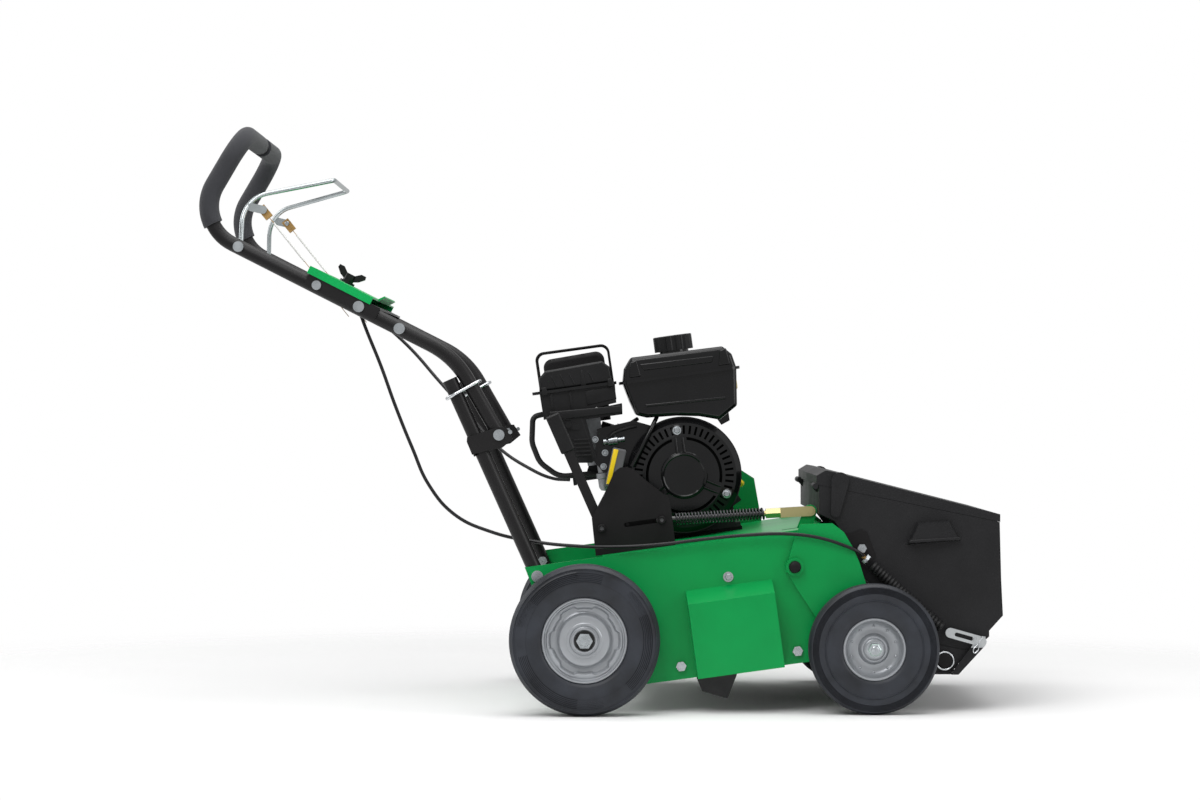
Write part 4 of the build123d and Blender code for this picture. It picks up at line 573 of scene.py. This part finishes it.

# Control panel: plate, ledge, shroud, louvres and a window
prism("panel plate", [(-60, 250), (-56, 236), (-26, 160), (6, 156), (10, 166), (-2, 236), (-4, 250)], -41.2, -37.5,
      SHELL, "frame", edge_mm=1.2)
prism("panel ledge", [(-58, 240), (70, 238), (70, 250), (-57, 256)], -46, -40, SHELL, "frame",
      edge_mm=1.4)
for number in range(5):
    v = 170 + 7 * number
    prism(f"panel louvre {number}", [(-22, v + 1), (5, v - 1.5), (5, v + 1.5), (-22, v + 4)], -43.6, -40, SHELL, "frame",
          edge_mm=0.4)
# Painted shade: the window is a near-black patch for the shade inside an opening.
prism("panel window", [(-12, 224), (-3, 224), (-3, 231), (-12, 231)], -41, -39.2, SHADE_DARK, "frame")
prism("panel shroud", [(-54, 238), (-22, 236), (-22, 244), (-54, 246)], -43.0, -38, SHELL, "frame")

# Tank: raised panel lines and shoulder steps
prism("tank shoulder", [(112, 318), (244, 315), (240, 304), (118, 306)], -42.2, -38, GLOSS, "frame",
      edge_mm=1.6)
prism("tank lower bead", [(112, 246), (256, 241), (255, 236), (113, 241)], -42.0, -38, GLOSS, "frame",
      edge_mm=1.4)
for number, (u0, u1) in enumerate(((90, 112), (250, 272))):
    prism(f"tank corner step {number}", [(u0, 296), (u1, 296), (u1 - 4, 326), (u0 + 6, 324)], -41.6, -36, GLOSS,
          "frame", edge_mm=2.4)

# Black socket screws over the lever's pin and the slide bolt, and nuts on the front stubs


def socket_screw(name, centre, radius, body):
    """A low round head with a hexagon socket, facing right."""
    head = [(radius, -3), (radius, 1.6), (radius * 0.86, 2.8), (radius * 0.5, 2.8)]
    lathe(name, centre, RIGHT, head, FLAT_BLACK, body, 32)
    lathe(name + " ring", centre, RIGHT, [(radius * 0.52, 2.8), (radius * 0.52, 0.6), (0, 0.6)], GREY, body,
          6)


pin_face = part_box("slide_bolt")[0][1] / MM
socket_screw("slide bolt head", deck(111.0, pin_face - 0.4, 46.0), 7.0, "bolt")
socket_screw("lever pin head", deck(6.7, pin_face - 0.4, 45.7), 7.0, "frame")
for side_name, outer in (("right", -1), ("left", 1)):
    hub = world(460, 0, 110)
    facing = Vector((0, outer, 0))
    lathe(f"front stub washer {side_name}", hub, facing, [(8.2, 331), (14, 331), (14, 333.6), (8.2, 333.6)], ZINC,
          "front_carriage", 48)
    lathe(f"front stub nut {side_name}", hub, facing, [(11.3, 333.8), (11.3, 341.6), (9.6, 342.6), (6.4, 342.6)],
          ZINC, "front_carriage", 6, split=15)
    lathe(f"front stub end {side_name}", hub, facing, [(6.5, 342.4), (6.5, 344.2), (5.2, 345.2), (0, 345.2)], ZINC,
          "front_carriage", 24)
bolt("cover top bolt", deck(209, -275, -63), 6.0, 7.0, "frame")
lathe("tie bar nut", deck(CRANK[0], -291, CRANK[1]), RIGHT, [(0, 9), (5.5, 9), (9, 7), (10.5, 3), (10.5, -2), (0, -2)],
      FLAT_BLACK, "front_carriage", 24)

# Hopper details: pull recess lip, ring, shaft end and split pin, and the cable adjuster's nut and barrel
prism("hopper pull lip", [(524, 286), (612, 292), (611, 297), (526, 292)], -266, -250, HOPPER, "frame",
      place=world, edge_mm=1.5)
tube("shaft ring", [world(586 + 15.5 * math.cos(t), -258.5, 85.3 + 15.5 * math.sin(t))
                    for t in [2 * math.pi * k / 12 for k in range(12)]], 1.6, CHROME, "agitator", closed=True)
lathe("shaft end", world(586, -257, 85.3), RIGHT, [(0, 3), (11, 3), (13, 1.5), (13, -1), (0, -1)], FLAT_BLACK,
      "agitator", 32)
tube("split pin", [world(640.7, -269, 125), world(645, -270, 108), world(635, -271, 97), world(632, -270, 106),
                   world(640, -269.5, 112), world(650, -269, 128)], 1.1, CHROME, "gate")
lathe("adjuster nut", world(451, -266, 259), Vector((0.744, 0, -0.668)), [(4.5, -3), (9, -3), (9, 3), (4.5, 3)], ZINC,
      "frame", 6, split=15)
lathe("adjuster barrel", world(446.5, -273.5, 263.5), Vector((0.553, 0.671, -0.493)),
      [(3.0, -5), (3.9, -4), (3.9, 5), (3.0, 6)], BRASS, "frame", 24)

# White liners of the bail wires
CLIP_PIN = (-582.0, 857.3)
WIRE_END = (-434.9, 674.0)
for number, y in enumerate((-213, 213)):
    start, end = world(CLIP_PIN[0], y, CLIP_PIN[1]), world(WIRE_END[0], y, WIRE_END[1])
    way = end - start
    tube(f"wire liner {number}", [start + way * f for f in (0.12, 0.30, 0.48)], 1.7, WHITE, "clips")
    lathe(f"clip screw {number}", world(CLIP_PIN[0], y - 5, CLIP_PIN[1]), RIGHT,
          [(0, 3.2), (3.4, 3.2), (4.2, 2.2), (4.2, -0.5), (0, -0.5)], ZINC, "clips", 24)

# Floor, backdrop and light


def floor_material():
    """White near the machine, fading to nothing further out; it keeps the shadow."""
    material = bpy.data.materials.new("studio floor")
    material.use_nodes = True
    tree = material.node_tree
    shader = tree.nodes["Principled BSDF"]
    shader.inputs["Base Color"].default_value = (0.86, 0.86, 0.86, 1)
    shader.inputs["Roughness"].default_value = 0.7
    output = tree.nodes["Material Output"]
    place = tree.nodes.new("ShaderNodeTexCoord")
    reach = tree.nodes.new("ShaderNodeVectorMath")
    reach.operation = "LENGTH"
    link(tree, place.outputs["Object"], reach.inputs[0])
    fade = tree.nodes.new("ShaderNodeMapRange")
    fade.inputs["From Min"].default_value = 0.95
    fade.inputs["From Max"].default_value = 1.9
    fade.interpolation_type = "SMOOTHSTEP"
    link(tree, reach.outputs["Value"], fade.inputs["Value"])
    clear = tree.nodes.new("ShaderNodeBsdfTransparent")
    mix = tree.nodes.new("ShaderNodeMixShader")
    link(tree, fade.outputs["Result"], mix.inputs["Fac"])
    link(tree, shader.outputs["BSDF"], mix.inputs[1])
    link(tree, clear.outputs["BSDF"], mix.inputs[2])
    link(tree, mix.outputs["Shader"], output.inputs["Surface"])
    return material


bpy.ops.mesh.primitive_plane_add(size=5.0, location=(0, 0, -0.0004))
floor = bpy.context.object
floor.name = "floor"
floor.data.materials.append(floor_material())


def area_light(name, place, target, size, power):
    light = bpy.data.lights.new(name, "AREA")
    light.shape = "RECTANGLE"
    light.size, light.size_y = size
    light.energy = power
    obj = bpy.data.objects.new(name, light)
    obj.location = place
    obj.rotation_euler = (Vector(target) - Vector(place)).to_track_quat("-Z", "Y").to_euler()
    bpy.context.scene.collection.objects.link(obj)
    return obj


area_light("top softbox", (0.1, -0.2, 3.0), (0, 0, 0.3), (3.0, 2.4), 62)
area_light("high strip", (-0.3, -1.9, 2.7), (0, 0, 0.45), (3.4, 0.35), 16)
area_light("front fill", (-1.3, -3.3, 3.1), (0, 0, 0.40), (2.4, 1.6), 58)
area_light("right edge", (3.0, -1.6, 1.5), (0.3, 0, 0.4), (1.4, 2.0), 24)
area_light("left edge", (-3.0, 0.8, 1.8), (-0.2, 0, 0.5), (1.4, 2.0), 22)

background = bpy.data.worlds.new("studio")
bpy.context.scene.world = background
background.use_nodes = True
sky = background.node_tree
plain_white = sky.nodes["Background"]
plain_white.inputs["Color"].default_value = (1, 1, 1, 1)
rays = sky.nodes.new("ShaderNodeLightPath")
total = None
for ray, extra in (("Is Camera Ray", 0.60), ("Is Transmission Ray", 0.60), ("Is Glossy Ray", 0.22)):
    share = sky.nodes.new("ShaderNodeMath")
    share.operation = "MULTIPLY_ADD"
    share.inputs[1].default_value = extra
    share.inputs[2].default_value = 0.40
    link(sky, rays.outputs[ray], share.inputs[0])
    if total is None:
        total = share.outputs["Value"]
        continue
    most = sky.nodes.new("ShaderNodeMath")
    most.operation = "MAXIMUM"
    link(sky, total, most.inputs[0])
    link(sky, share.outputs["Value"], most.inputs[1])
    total = most.outputs["Value"]
link(sky, total, plain_white.inputs["Strength"])

# Camera at the photograph's view
lens = bpy.data.cameras.new("camera")
lens.lens = 96.4
lens.sensor_width = 36.0
lens.shift_x = 0.0025
lens.shift_y = -0.0017
lens.clip_end = 50
camera = bpy.data.objects.new("camera", lens)
camera.location = world(-7.7, -5745, 534)
camera.rotation_euler = (math.radians(90), 0, 0)
bpy.context.scene.collection.objects.link(camera)
bpy.context.scene.camera = camera
bpy.context.scene.view_settings.view_transform = "Standard"
